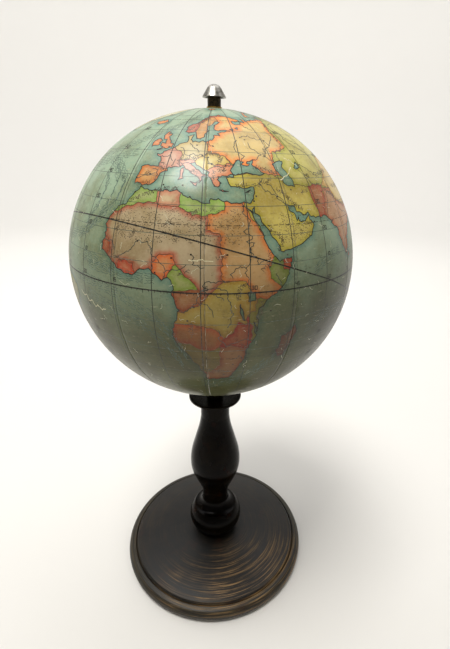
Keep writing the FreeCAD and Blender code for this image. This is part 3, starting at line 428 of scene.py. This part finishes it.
TOWNS = trace(
    2.3, 48.9, -3.7, 40.4, -0.1, 51.5, 13.4, 52.5, 16.4, 48.2, 12.5, 41.9, 23.7, 38, 29, 41, 30.3, 60, 37.6,
    55.8, 31.2, 30, 3, 36.7, 10.2, 36.8, -7.6, 33.6, -17.4, 14.7, 3.4, 6.5, 32.5, 15.6, 38.7, 9, 39.2, -6.2,
    18.4, -33.9, 28, -26.2, 13.2, -8.8, 15.3, -4.3, 47.5, -18.9, 44.4, 33.3, 51.4, 35.7, 39.8, 21.4, 45,
    12.8, 58.6, 23.6, 69, 34.5, 72.8, 19, 77.2, 28.6, 88.3, 22.6, 69.3, 41.3, 49.1, 55.8, 44.5, 48.7, 30.7,
    46.5, 26.1, 44.4, 19, 47.5, 18, 59.3, 10.7, 59.9, 12.6, 55.7, -6.2, 53.3, -9.1, 38.7, 20.5, 44.8, 24.9,
    60.2, 21, 52.2, 36.3, 33.5, 35.2, 31.8, -3, 16.8, 13.2, 32.9, 8.5, 12, 14.5, 13.5, 25.4, 13.6, 116.4,
    39.9, 121.5, 31.2, 139.7, 35.7, 104, 1.3, 151.2, -33.9, -74, 40.7, -99.1, 19.4, -87.6, 41.9, -122.4,
    37.8, -43.2, -22.9, -58.4, -34.6, -77, -12, -70.7, -33.4, 174.8, -41.3)
CRACKS = traces(
    (-31, -6, -29, -7.4, -27.4, -6.6, -26, -8.6, -24, -8, -22.4, -9.8, -20.6, -9, -18.6, -10.2, -17, -9.4),
    (48, 39.5, 52, 41, 56, 44), (55, 48, 58.4, 47, 60.4, 44.6), (14, 11.4, 18, 11.8, 21, 11.2))


# ---------------------------------------------------------------- the map on the ball
FIRST_SEAM = 108.6                       # degrees east at which gore_01 starts
GORE = 30.0
PRIME = 2.34                             # the meridian the grid counts from
FACING = 21.6                            # degrees east that look along -Y
WEST_END = -161.4                        # the seam at which a full circle of print starts and ends
GORE_TIP = 80.9                          # height on the ball, in degrees, that the gores reach
MESH_STEP = 1.1                          # degrees between the points inside a gore
TILT = 23.4                              # of the ecliptic, and the latitude of the tropics
PAPER_TOP = BALL_RADIUS - 0.04 * MM


def slipped(lat):
    """The height on the ball, in degrees, at which the printer put a latitude."""
    a = np.radians(lat)
    return lat + 4.1 * np.cos(a) - np.where(np.asarray(lat) > 0, 4.7 * np.sin(2 * a), 0.0)


def unslipped(height):
    """The latitude that the printer put at a height on the ball."""
    low, high = -90.0, 90.0
    for _ in range(40):
        middle = (low + high) / 2
        if slipped(middle) < height:
            low = middle
        else:
            high = middle
    return middle


def on_ball(points, radius):
    """Points given as longitude and latitude, in metres on a ball of that radius."""
    points = np.asarray(points, float).reshape(-1, 2)
    lon = np.radians(points[:, 0] - FACING)
    lat = np.radians(slipped(points[:, 1]))
    flat = np.stack([np.cos(lat) * np.sin(lon), -np.cos(lat) * np.cos(lon), np.sin(lat)], 1)
    return flat * radius + np.array(CENTRE)


def wander(points, closed=True, step=1.1, amount=1.0):
    """The same line in short pieces, with the small bends a coast has."""
    ends = points[1:] + (points[:1] if closed else [])
    fine = []
    for (x0, y0), (x1, y1) in zip(points, ends):
        count = max(1, math.ceil(math.hypot(x1 - x0, y1 - y0) / step))
        fine += [(x0 + (x1 - x0) * i / count, y0 + (y1 - y0) * i / count) for i in range(count)]
    if not closed:
        fine.append(points[-1])
    bent = []
    for x, y in fine:
        dx = 0.2 * math.sin(2.1 * y + 1.3 * x) + 0.16 * math.sin(4.3 * y - 3.1 * x + 1)
        dx += 0.08 * math.sin(9 * x + 7 * y)
        dy = 0.2 * math.sin(1.9 * x - 1.1 * y) + 0.16 * math.sin(4.7 * x + 2.9 * y + 2)
        dy += 0.08 * math.sin(8 * x - 9 * y)
        bent.append((x + dx * amount, y + dy * amount))
    return bent


def clipped(points, edge, side):
    """The part of an outline on one side of a meridian."""
    kept = []
    for (x0, y0), (x1, y1) in zip(points, points[1:] + points[:1]):
        inside, next_inside = (x0 - edge) * side >= 0, (x1 - edge) * side >= 0
        if inside:
            kept.append((x0, y0))
        if inside != next_inside:
            kept.append((edge, y0 + (y1 - y0) * (edge - x0) / (x1 - x0)))
    return kept


class Ink:
    """Printed strokes, gathered as thin ribbons and laid on the paper as one piece."""

    def __init__(self, name, width, lift, colour):
        self.name, self.width, self.lift, self.colour = name, width * MM, lift * MM, colour
        self.strokes = []

    def line(self, points):
        self.strokes += list(zip(points, points[1:]))

    def dashes(self, points, on, off):
        self.strokes += [s for i, s in enumerate(zip(points, points[1:])) if i % (on + off) < on]

    def lay(self):
        ends = np.array(self.strokes, float)
        radius = PAPER_TOP + self.lift
        start, end = on_ball(ends[:, 0], radius), on_ball(ends[:, 1], radius)
        ahead = end - start
        ahead /= np.maximum(np.linalg.norm(ahead, axis=1, keepdims=True), 1e-9)
        out = (start + end) / 2 - np.array(CENTRE)
        out /= np.linalg.norm(out, axis=1, keepdims=True)
        across = np.cross(out, ahead) * self.width / 2
        start, end = start - ahead * self.width * 0.3, end + ahead * self.width * 0.3
        corners = np.stack([start - across, end - across, end + across, start + across], 1).reshape(-1, 3)
        from_middle = corners - np.array(CENTRE)
        corners = np.array(CENTRE) + from_middle / np.linalg.norm(from_middle, axis=1, keepdims=True) * radius
        mesh = bpy.data.meshes.new(self.name)
        mesh.from_pydata(corners.tolist(), [], np.arange(len(corners)).reshape(-1, 4).tolist())
        mesh.materials.append(ink_material(self.name, self.colour))
        piece(self.name, mesh)


def piece(name, mesh):
    """A printed layer that turns with the ball."""
    made = bpy.data.objects.new(name, mesh)
    bpy.context.scene.collection.objects.link(made)
    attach(made, "globe")
    return made


def ink_material(name, colour):
    paint = Paint(name)
    worn = paint.noise(paint.place, 700.0, 5.0, 0.7)
    faded = tuple(min(255, c + 46) for c in colour)
    paint.set(Base_Color=paint.mix(paint.step(worn, 0.46, 0.72), rgb(*colour), rgb(*faded)))
    paint.set(Roughness=0.5, Specular_IOR_Level=0.15, Coat_Weight=0.42, Coat_Roughness=0.2)
    return paint.material


def map_material():
    """Coloured print on yellowed paper under old varnish, with painted shade towards the foot and on the side
    facing +X at rest.
    """
    paint = Paint("map_print")
    tint = paint.add("ShaderNodeAttribute", attribute_name="tint").outputs["Color"]
    blotches = paint.noise(paint.place, 38.0, 5.0, 0.62)
    grain = paint.noise(paint.place, 1500.0, 3.0, 0.6)
    height = paint.turned()[2]
    aged = paint.mix(paint.step(blotches, 0.4, 0.64, 0.0, 0.7), tint, rgb(176, 160, 108), "MULTIPLY")
    mottled = paint.mix(paint.step(grain, 0.3, 0.7, 0.0, 0.14), aged, rgb(200, 192, 150))
    # Painted shade: the print is made darker towards the foot of the ball, standing in for shade on its lower
    # half; it turns with the ball.
    painted_shade_below = paint.step(height, CENTRE.z - 0.4 * BALL_RADIUS, CENTRE.z + 0.55 * BALL_RADIUS, 1.0, 0.0)
    below_shaded = paint.mix(painted_shade_below, mottled, rgb(146, 132, 100), "MULTIPLY")
    # Painted shade: the lower part of the side facing +X at rest is darkened too; it turns with the ball.
    across = paint.add("ShaderNodeSeparateXYZ", {0: paint.place}).outputs[0]
    low_down = paint.step(height, CENTRE.z - 0.3 * BALL_RADIUS, CENTRE.z + 0.5 * BALL_RADIUS, 1.0, 0.0)
    painted_shade_right = paint.calc("MULTIPLY", paint.step(across, 0.1 * BALL_RADIUS, 0.9 * BALL_RADIUS), low_down)
    right_shaded = paint.mix(painted_shade_right, below_shaded, rgb(150, 146, 134), "MULTIPLY")
    spots = paint.noise(paint.place, 330.0, 8.0, 0.78)
    stained = paint.mix(paint.step(spots, 0.53, 0.72, 0.0, 0.62), right_shaded, rgb(104, 88, 58), "MULTIPLY")
    rubbed = paint.noise(paint.stretch(paint.place, (240.0, 240.0, 1500.0)), 1.0, 6.0, 0.75)
    worn = paint.mix(paint.step(rubbed, 0.58, 0.72, 0.0, 0.34), stained, rgb(214, 206, 170))
    paint.set(Base_Color=worn, Roughness=0.55, Specular_IOR_Level=0.15, Coat_Weight=0.52, Coat_Roughness=0.2)
    paint.bump(paint.calc("ADD", blotches, paint.calc("MULTIPLY", spots, 0.3)), 0.00025, 0.6)
    return paint.material


def regions():
    """Every region of the map as (colour, outline, kind), the later ones lying over the earlier."""
    found = [(colour, wander(outline), "land") for colour, outline in MAINLANDS + ISLES]
    found += [(colour, wander(outline), "country") for colour, outline in COUNTRIES]
    return found + [(SEA, wander(outline, amount=0.5), "lake") for outline in LAKES]


def gore_outline(west, low, high):
    """A gore's edge, trimmed by hand and so a little uneven."""
    heights = np.linspace(low, high, 150)
    gap = 0.075 + 0.03 * np.sin(heights * 0.9 + west) + 0.02 * np.sin(heights * 2.7)
    left = [(west + g, h) for g, h in zip(gap, heights)]
    right = [(west + GORE - g, h) for g, h in zip(gap[::-1], heights[::-1])]
    return left + right


def within(points, outline):
    """True for each point inside an outline."""
    ring = np.asarray(outline, float)
    x0, y0 = ring.T
    x1, y1 = np.roll(ring, -1, axis=0).T
    x, y = points[:, :1], points[:, 1:]
    spans = (y0 > y) != (y1 > y)
    run = np.where(y1 == y0, 1.0, y1 - y0)
    crossed = spans & (x < x0 + (x1 - x0) * (y - y0) / run)
    return crossed.sum(1) % 2 == 1


def seen_region(inside, found):
    """Which of the regions round a face is on top: an index into found, or -1 for the sea."""
    lands = [i for i in inside if found[i][2] == "land"]
    lakes = [i for i in inside if found[i][2] == "lake"]
    if not lands or lakes:
        return -1
    mainland = any(i < len(MAINLANDS) for i in lands)
    countries = [i for i in inside if found[i][2] == "country"]
    return max(countries) if countries and mainland else max(lands)


def distance_to(points, starts, ends):
    """Degrees from each point to the nearest of the segments."""
    squeeze = np.stack([np.cos(np.radians(points[:, 1])), np.ones(len(points))], 1)[:, None, :]
    away = (points[:, None, :] - starts[None]) * squeeze
    along = (ends - starts)[None] * squeeze
    share = np.clip((away * along).sum(2) / np.maximum((along ** 2).sum(2), 1e-9), 0, 1)
    return np.sqrt(((away - along * share[..., None]) ** 2).sum(2)).min(1)


# The stronger wash that a colourist runs along a frontier, where it isn't just more of the same.
WASHES = {
    TAN: (176, 84, 60), EGYPTIAN: (216, 118, 50), RUSSIAN: (228, 126, 44), YELLOW: (178, 166, 52),
    NIGERIAN: (216, 92, 36), ANGOLAN: (210, 96, 30), SIBERIAN: (162, 160, 56), ALGERIAN: (190, 112, 82),
    CONGO: (190, 150, 50)
}


def pale(colour):
    """The thin wash inside a region, with the paper showing through."""
    return np.array(rgb(*colour)[:3]) * 0.84 + np.array(rgb(190, 174, 130)[:3]) * 0.16


def deep(colour):
    if colour in WASHES:
        return np.array(rgb(*WASHES[colour])[:3])
    light = np.array(rgb(*colour)[:3])
    return light * (light / light.max()) ** 0.8 * 0.86


def gore_outlines(west, low, high, found):
    """The gore's own outline, then each region that reaches it, with its index into found."""
    outlines = [(-2, gore_outline(west, low, high))]
    for index, (_, outline, _) in enumerate(found):
        for turn in (-360.0, 0.0, 360.0):
            part = clipped([(x + turn, y) for x, y in outline], west - 1.0, 1)
            part = clipped(part, west + GORE + 1.0, -1) if part else part
            if len(part) > 2:
                outlines.append((index, part))
    return outlines


def cut_paper(outlines, west, low, high, chance):
    """Points and triangles whose edges follow every outline."""
    spots, loops = [], []
    for _, outline in outlines:
        loops.append(list(range(len(spots), len(spots) + len(outline))))
        spots += outline
    for x in np.arange(west + 0.7, west + GORE - 0.5, MESH_STEP):
        for y in np.arange(low + 0.6, high - 0.4, MESH_STEP):
            spots.append((x + chance.uniform(-0.2, 0.2), y + chance.uniform(-0.2, 0.2)))
    edges = [(a, b) for loop in loops for a, b in zip(loop, loop[1:] + loop[:1])]
    made = delaunay_2d_cdt([Vector(s) for s in spots], edges, [], 0, 1e-5, False)
    return np.array([tuple(v) for v in made[0]]), np.array([list(f) for f in made[2]])


def owned_faces(points, triangles, outlines, found):
    """The triangles inside the gore, and the region that each one belongs to."""
    middles = points[triangles].mean(1)
    around = [(index, within(middles, outline)) for index, outline in outlines]
    faces, region = [], []
    for place in np.nonzero(around[0][1])[0]:
        faces.append(triangles[place].tolist())
        region.append(seen_region({index for index, inside in around[1:] if inside[place]}, found))
    return faces, region


def ink_borders(points, faces, region, coasts, frontiers):
    """Draws the lines between regions, and returns each region's border edges."""
    sides = {}
    for index, face in enumerate(faces):
        for a, b in zip(face, face[1:] + face[:1]):
            sides.setdefault((min(a, b), max(a, b)), []).append(region[index])
    borders = {}
    for edge, owners in sides.items():
        if len(owners) == 2 and owners[0] != owners[1]:
            for owner in owners:
                borders.setdefault(owner, []).append(edge)
            stroke = (tuple(points[edge[0]]), tuple(points[edge[1]]))
            (coasts if -1 in owners else frontiers).strokes.append(stroke)
    return borders


def wash_colours(points, faces, region, borders, found):
    """Colour of each region's points: deep along its border and pale inside."""
    washes = {}
    for owner in set(region):
        at_sea = owner == -1
        fill = np.array(rgb(*SEA)[:3]) if at_sea else pale(found[owner][0])
        edge = np.array(rgb(*SHALLOWS)[:3]) if at_sea else deep(found[owner][0])
        used = sorted({v for face, r in zip(faces, region) if r == owner for v in face})
        strength = np.zeros(len(used))
        if owner in borders:
            line = np.array(borders[owner])
            away = distance_to(points[used], points[line[:, 0]], points[line[:, 1]])
            strength = np.clip(1.25 - away / (1.9 if at_sea else 1.5), 0, 1)
        for v, s in zip(used, strength):
            washes[owner, v] = (*(fill * (1 - s) + edge * s), 1.0)
    return washes


def make_gore(number, found, coasts, frontiers, paper):
    west = FIRST_SEAM + GORE * (number - 1)
    if west > 198.0:
        west -= 360.0
    low, high = unslipped(-GORE_TIP), unslipped(GORE_TIP)
    outlines = gore_outlines(west, low, high, found)
    points, triangles = cut_paper(outlines, west, low, high, random.Random(number))
    faces, region = owned_faces(points, triangles, outlines, found)
    borders = ink_borders(points, faces, region, coasts, frontiers)
    washes = wash_colours(points, faces, region, borders, found)
    mesh = bpy.data.meshes.new("map_gore_%02d" % number)
    mesh.from_pydata(on_ball(points, PAPER_TOP).tolist(), [], faces)
    tint = mesh.color_attributes.new("tint", "FLOAT_COLOR", "CORNER")
    colours = [c for face, r in zip(faces, region) for v in face for c in washes[r, v]]
    tint.data.foreach_set("color", colours)
    mesh.shade_smooth()
    mesh.materials.append(paper)
    gore = piece("map_gore_%02d" % number, mesh)
    thickness = gore.modifiers.new("paper", "SOLIDIFY")
    thickness.thickness = 0.15 * MM
    thickness.offset = -1.0
    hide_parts("gore_%02d" % number)


DIGITS = {"0": [0, 1, 3, 5, 4, 2, 0], "1": [1, 3, 5], "2": [0, 1, 3, 2, 4, 5], "3": [0, 1, 3, 2, 3, 5, 4],
          "4": [0, 2, 3, 1, 5], "5": [1, 0, 2, 3, 5, 4], "6": [1, 0, 2, 4, 5, 3, 2], "7": [0, 1, 5],
          "8": [0, 1, 5, 4, 0, 2, 3], "9": [3, 2, 0, 1, 3, 5]}


def degree_mark(ink, number, lon, lat, size):
    """A degree numeral, from six corner points per digit."""
    stretch = 1.0 / max(0.2, math.cos(math.radians(lat)))
    for place, digit in enumerate(str(number)):
        left = lon + place * size * 0.8 * stretch
        across = size * 0.5 * stretch
        ink.line([(left + (c % 2) * across, lat + (2 - c // 2) * size * 0.5) for c in DIGITS[digit]])


def circle(ink, lat):
    ink.line([(WEST_END + i, lat) for i in range(361)])


def hachures(ink, spine):
    """A mountain range as short strokes down both of its slopes."""
    fine = wander(spine, closed=False, step=0.42, amount=1.6)
    chance = random.Random(int(spine[0][0] * 10))
    for (x0, y0), (x1, y1) in zip(fine, fine[1:]):
        long = math.hypot(x1 - x0, y1 - y0) or 1.0
        nx, ny = -(y1 - y0) / long, (x1 - x0) / long
        for side in (-1, 1):
            reach = chance.uniform(0.35, 0.85) * side
            ink.line([(x0 + nx * 0.12 * side, y0 + ny * 0.12 * side), (x0 + nx * reach, y0 + ny * reach)])


def grid_inks():
    """The net of degrees, the equator, ecliptic, tropics and polar circles, and the numerals."""
    fine = Ink("print_grid", 0.17, 0.008, (74, 86, 74))
    for lat in range(-70, 80, 10):
        if lat:
            circle(fine, lat)
    meridians = Ink("print_meridians", 0.27, 0.012, (46, 48, 42))
    for turn in range(24):
        lon = (PRIME + 15 * turn - WEST_END) % 360 + WEST_END
        meridians.line([(lon, -81 + i) for i in range(163)])
    circles = Ink("print_circles", 0.44, 0.03, (34, 32, 28))
    circle(circles, 0.0)
    slope = math.tan(math.radians(TILT))
    circles.line([(x, math.degrees(math.atan(slope * math.cos(math.radians(x + 25)))))
                  for x in range(-161, 200)])
    ticks = Ink("print_ticks", 0.18, 0.032, (40, 38, 32))
    for lat in (TILT, -TILT, 66.6, -66.6):
        ticks.dashes([(WEST_END + i * 0.75, lat) for i in range(481)], 2, 1)
    for i in range(180):
        lon = PRIME - 163 + i * 2
        ticks.line([(lon, 0.0), (lon, -0.55 if i % 5 else -1.1)])
    marks = Ink("print_degree_marks", 0.24, 0.034, (38, 36, 30))
    for turn in range(1, 12):
        for sign in (-1, 1):
            degree_mark(marks, 15 * turn, PRIME + sign * 15 * turn + 0.4, 1.2, 1.3)
    for lat in range(-60, 80, 10):
        if lat:
            for lon in (PRIME - 30, PRIME + 60, PRIME + 150, PRIME - 120):
                degree_mark(marks, abs(lat), lon + 0.5, lat + 0.3, 1.3)
    return [fine, meridians, circles, ticks, marks]


def stipple(ink, count, west, east, south, north, chance):
    """A desert, as short dashes."""
    for _ in range(count):
        lon, lat = chance.uniform(west, east), chance.uniform(south, north)
        ink.line([(lon, lat), (lon + 0.16, lat)])


def land_inks(chance):
    """Rivers, mountains and deserts, sea currents and towns."""
    rivers = Ink("print_rivers", 0.22, 0.02, (58, 62, 56))
    for river in RIVERS:
        rivers.line(wander(river, closed=False, step=0.6, amount=1.3))
    slopes = Ink("print_mountains", 0.18, 0.014, (72, 62, 48))
    for spine in RANGES:
        hachures(slopes, spine)
    stipple(slopes, 900, -12, 30, 17, 29, chance)
    stipple(slopes, 260, 43, 55, 17, 27, chance)
    streams = Ink("print_currents", 0.18, 0.01, (72, 90, 80))
    for current in CURRENTS:
        for shift in (0.0, 0.8, 1.6, 2.4, 3.2):
            moved = [(x, y + shift) for x, y in current]
            streams.dashes(wander(moved, closed=False, step=0.7), 4, 1)
    towns = Ink("print_towns", 0.5, 0.036, (46, 38, 32))
    for lon, lat in TOWNS:
        towns.line([(lon - 0.14, lat), (lon + 0.14, lat)])
    return [rivers, slopes, streams, towns]


def crack_ink():
    """Places where the paper has split down to the plaster."""
    damage = Ink("bare_plaster_cracks", 0.22, 0.04, (214, 206, 168))
    for crack in CRACKS:
        damage.line(wander(crack, closed=False, step=0.5, amount=0.8))
    return damage


def scratch_ink(chance):
    """Small pale scratches in the varnish, all over the ball."""
    rubs = Ink("varnish_scratches", 0.1, 0.039, (196, 194, 164))
    for _ in range(520):
        lon, lat = chance.uniform(-161, 198), math.degrees(math.asin(chance.uniform(-0.98, 0.98)))
        turn, long = chance.uniform(0, math.pi), chance.uniform(0.4, 2.6)
        dx, dy = math.cos(turn) * long, math.sin(turn) * long
        rubs.line(wander([(lon, lat), (lon + dx, min(79.0, max(-79.0, lat + dy)))], closed=False, step=0.5))
    return rubs


def make_globe():
    coasts = Ink("print_coasts", 0.3, 0.024, (44, 44, 38))
    frontiers = Ink("print_frontiers", 0.22, 0.018, (84, 62, 44))
    found = regions()
    paper = map_material()
    for number in range(1, 13):
        make_gore(number, found, coasts, frontiers, paper)
    chance = random.Random(5)
    printed = [coasts, frontiers] + grid_inks() + land_inks(chance)
    for ink in [scratch_ink(chance)] + printed + [crack_ink()]:
        ink.lay()
    for name in ("calotte_south", "calotte_north"):
        dress(name, calotte_paper())


def calotte_paper():
    paint = Paint("calotte_paper")
    stains = paint.noise(paint.place, 160.0, 5.0, 0.65)
    paint.set(Base_Color=paint.mix(stains, rgb(*SEA), rgb(158, 166, 126)), Roughness=0.55)
    paint.set(Coat_Weight=0.5, Coat_Roughness=0.25)
    paint.bump(stains, 0.00012)
    return paint.material


# ---------------------------------------------------------------- materials of the stand
def black_wood(name, roughness, wear, shine=0.3):
    """Black-stained turned wood: lathe streaks, brown showing where the lacquer has gone, and a painted
    highlight along the rim of the base.
    """
    paint = Paint(name)
    angle, radius, height = paint.turned()
    rings = paint.join(paint.calc("MULTIPLY", angle, 1.2), paint.calc("MULTIPLY", radius, 1300.0),
                       paint.calc("MULTIPLY", height, 1300.0))
    streaks = paint.noise(rings, 1.0, 5.0, 0.7)
    patches = paint.noise(paint.place, 48.0, 3.0, 0.6)
    across, along, _ = paint.add("ShaderNodeSeparateXYZ", {0: paint.place}).outputs
    front = paint.calc("SUBTRACT", paint.calc("MULTIPLY", across, 0.35), along)
    handled = paint.step(front, 0.012, 0.044, 0.06, 1.0)
    worn = paint.calc("MULTIPLY", paint.step(streaks, 0.46, 0.74), paint.step(patches, 0.34, 0.62, 0.25, 1.0))
    worn = paint.calc("MULTIPLY", paint.calc("MULTIPLY", worn, handled), wear, clamp=True)
    lacquer = paint.mix(paint.step(patches, 0.35, 0.65), rgb(9, 7, 5), rgb(24, 20, 14))
    # Painted highlight: a pale grey-olive band at the rim of the base, broken up by the streaks, stands in
    # for the key light's reflection along the bead.
    at_rim = paint.step(radius, 0.0458, 0.0485, 0.0, 0.32)
    painted_rim_highlight = paint.calc("MULTIPLY", at_rim, paint.step(streaks, 0.4, 0.66, 0.25, 1.0))
    lacquer = paint.mix(painted_rim_highlight, lacquer, rgb(86, 80, 62))
    thin = paint.noise(paint.place, 120.0, 2.0)
    lacquer = paint.mix(paint.step(thin, 0.58, 0.74, 0.0, 0.35), lacquer, rgb(46, 22, 10))
    paint.set(Base_Color=paint.mix(worn, lacquer, rgb(148, 116, 74)), Specular_IOR_Level=shine)
    paint.set(Roughness=paint.step(streaks, 0.2, 0.8, roughness * 0.8, roughness * 1.3))
    paint.bump(streaks, 0.00008)
    return paint.material


def dull(name, first, second, scale, roughness, metallic=0.0, depth=0.00003):
    """Two tones in a fine mottle, for the small and hidden pieces."""
    paint = Paint(name)
    mottle = paint.noise(paint.place, scale, 5.0, 0.65)
    paint.set(Base_Color=paint.mix(paint.step(mottle, 0.35, 0.68), rgb(*first), rgb(*second)))
    paint.set(Metallic=metallic, Roughness=paint.step(mottle, 0.2, 0.8, roughness * 0.8, roughness * 1.2))
    paint.bump(mottle, depth)
    return paint.material


def nickel():
    paint = Paint("nickel_plate")
    angle, radius, height = paint.turned()
    spin = paint.join(angle, paint.calc("MULTIPLY", radius, 2500.0), paint.calc("MULTIPLY", height, 2500.0))
    lines = paint.noise(spin, 1.0, 3.0)
    tarnish = paint.noise(paint.place, 900.0, 4.0)
    paint.set(Base_Color=paint.mix(paint.step(tarnish, 0.45, 0.75), rgb(156, 153, 146), rgb(88, 84, 76)))
    paint.set(Metallic=1.0, Roughness=paint.step(lines, 0.2, 0.8, 0.26, 0.42))
    paint.bump(lines, 0.00002)
    return paint.material


# ---------------------------------------------------------------- camera, light and floor
def make_camera():
    """At the eye that saw the globe: just above the ball's middle and a little to its right."""
    distance, rise = 2.969, 0.730          # in ball radii, from the ball's centre
    yaw, pitch, roll = (math.radians(a) for a in (4.94, 23.65, 1.81))
    focal, sensor = 22.25, 36.0
    ahead = Vector((math.sin(yaw) * math.cos(pitch), math.cos(yaw) * math.cos(pitch), -math.sin(pitch)))
    side = ahead.cross(Vector((0, 0, 1))).normalized()
    up = side.cross(ahead)
    right = side * math.cos(roll) + up * math.sin(roll)
    top = up * math.cos(roll) - side * math.sin(roll)
    data = bpy.data.cameras.new("camera")
    data.lens = focal
    data.sensor_width = sensor
    data.shift_x = -0.0334
    data.shift_y = 0.0099
    data.clip_start = 0.01
    camera = bpy.data.objects.new("camera", data)
    bpy.context.scene.collection.objects.link(camera)
    place = Matrix((right, top, -ahead)).transposed().to_4x4()
    place.translation = CENTRE + Vector((0, -distance, rise)) * BALL_RADIUS
    camera.matrix_world = place
    bpy.context.scene.camera = camera


def area_light(name, spot, aim, size, power, colour=(1.0, 1.0, 1.0)):
    data = bpy.data.lights.new(name, "AREA")
    data.shape = "RECTANGLE"
    data.size, data.size_y = size
    data.energy = power
    data.color = colour
    lamp = bpy.data.objects.new(name, data)
    bpy.context.scene.collection.objects.link(lamp)
    lamp.location = spot
    lamp.rotation_euler = (Vector(aim) - Vector(spot)).to_track_quat("-Z", "Y").to_euler()


def make_light():
    middle = tuple(CENTRE)
    area_light("key", (-0.2, -0.2, 1.06), middle, (0.36, 0.36), 8.0, (1.0, 0.98, 0.94))
    area_light("overhead", (0.0, 0.45, 1.3), (0.0, 0.6, 0.0), (1.6, 1.0), 10.0)
    area_light("wall", (0.0, 0.35, 1.2), (0.0, 1.8, 0.7), (1.6, 0.5), 12.0)
    world = bpy.data.worlds.new("studio")
    world.use_nodes = True
    world.node_tree.nodes["Background"].inputs["Color"].default_value = (1.0, 0.98, 0.95, 1.0)
    world.node_tree.nodes["Background"].inputs["Strength"].default_value = 0.16
    bpy.context.scene.world = world
    bpy.context.scene.view_settings.view_transform = "Standard"


def make_floor():
    """A round table top that curves up into a plain wall, so that there is no horizon."""
    reach, bend, top, around = 1.2, 0.6, 2.2, 72
    profile = [(0.02, 0.0), (0.3, 0.0), (0.7, 0.0)]
    for step in range(13):
        a = math.radians(90 * step / 12)
        profile.append((reach + bend * math.sin(a), bend - bend * math.cos(a)))
    profile.append((reach + bend, top))
    spots = [(r * math.cos(2 * math.pi * i / around), r * math.sin(2 * math.pi * i / around), z - 0.0002)
             for r, z in profile for i in range(around)]
    faces = [tuple(range(around))]
    for ring in range(len(profile) - 1):
        for i in range(around):
            j = (i + 1) % around
            low, high = ring * around, (ring + 1) * around
            faces.append((low + i, low + j, high + j, high + i))
    mesh = bpy.data.meshes.new("backdrop")
    mesh.from_pydata(spots, [], faces)
    mesh.shade_smooth()
    backdrop = bpy.data.objects.new("backdrop", mesh)
    bpy.context.scene.collection.objects.link(backdrop)
    paint = Paint("pale_backdrop")
    paint.set(Base_Color=rgb(226, 224, 220), Roughness=0.9)
    mesh.materials.append(paint.material)


make_camera()
make_light()
make_floor()
make_globe()
dress("base", black_wood("base_wood", 0.42, 1.6, 0.36))
dress("column", black_wood("column_wood", 0.1, 0.03, 0.06))
dress("lower_collar", black_wood("collar_wood", 0.3, 0.1, 0.1))
for part in ("finial_cap", "finial_washer"):
    dress(part, nickel())
dress("upper_sleeve", dull("blackened_brass", (34, 30, 26), (74, 62, 44), 1200.0, 0.42, 0.8))
brass = dull("brass", (164, 132, 70), (104, 78, 40), 900.0, 0.34, 1.0)
for part in ("south_washer", "north_washer", "south_bush", "north_bush", "finial_insert"):
    dress(part, brass)
dress("axle_rod", dull("steel_rod", (142, 142, 138), (92, 84, 76), 800.0, 0.32, 1.0))
dress("pole_tacks", dull("tack_steel", (104, 100, 96), (74, 62, 52), 1500.0, 0.45, 1.0))
dress("axis_post", dull("bare_wood", (186, 150, 104), (150, 112, 70), 300.0, 0.7))
dress("plaster_shell", dull("plaster", (222, 214, 190), (190, 178, 146), 500.0, 0.85, 0.0, 0.0001))
board = dull("pasteboard", (156, 138, 110), (120, 102, 78), 700.0, 0.9)
for part in ("hemisphere_north", "hemisphere_south"):
    dress(part, board)
dress("joint_band", dull("linen", (204, 192, 160), (172, 158, 126), 1600.0, 0.9))
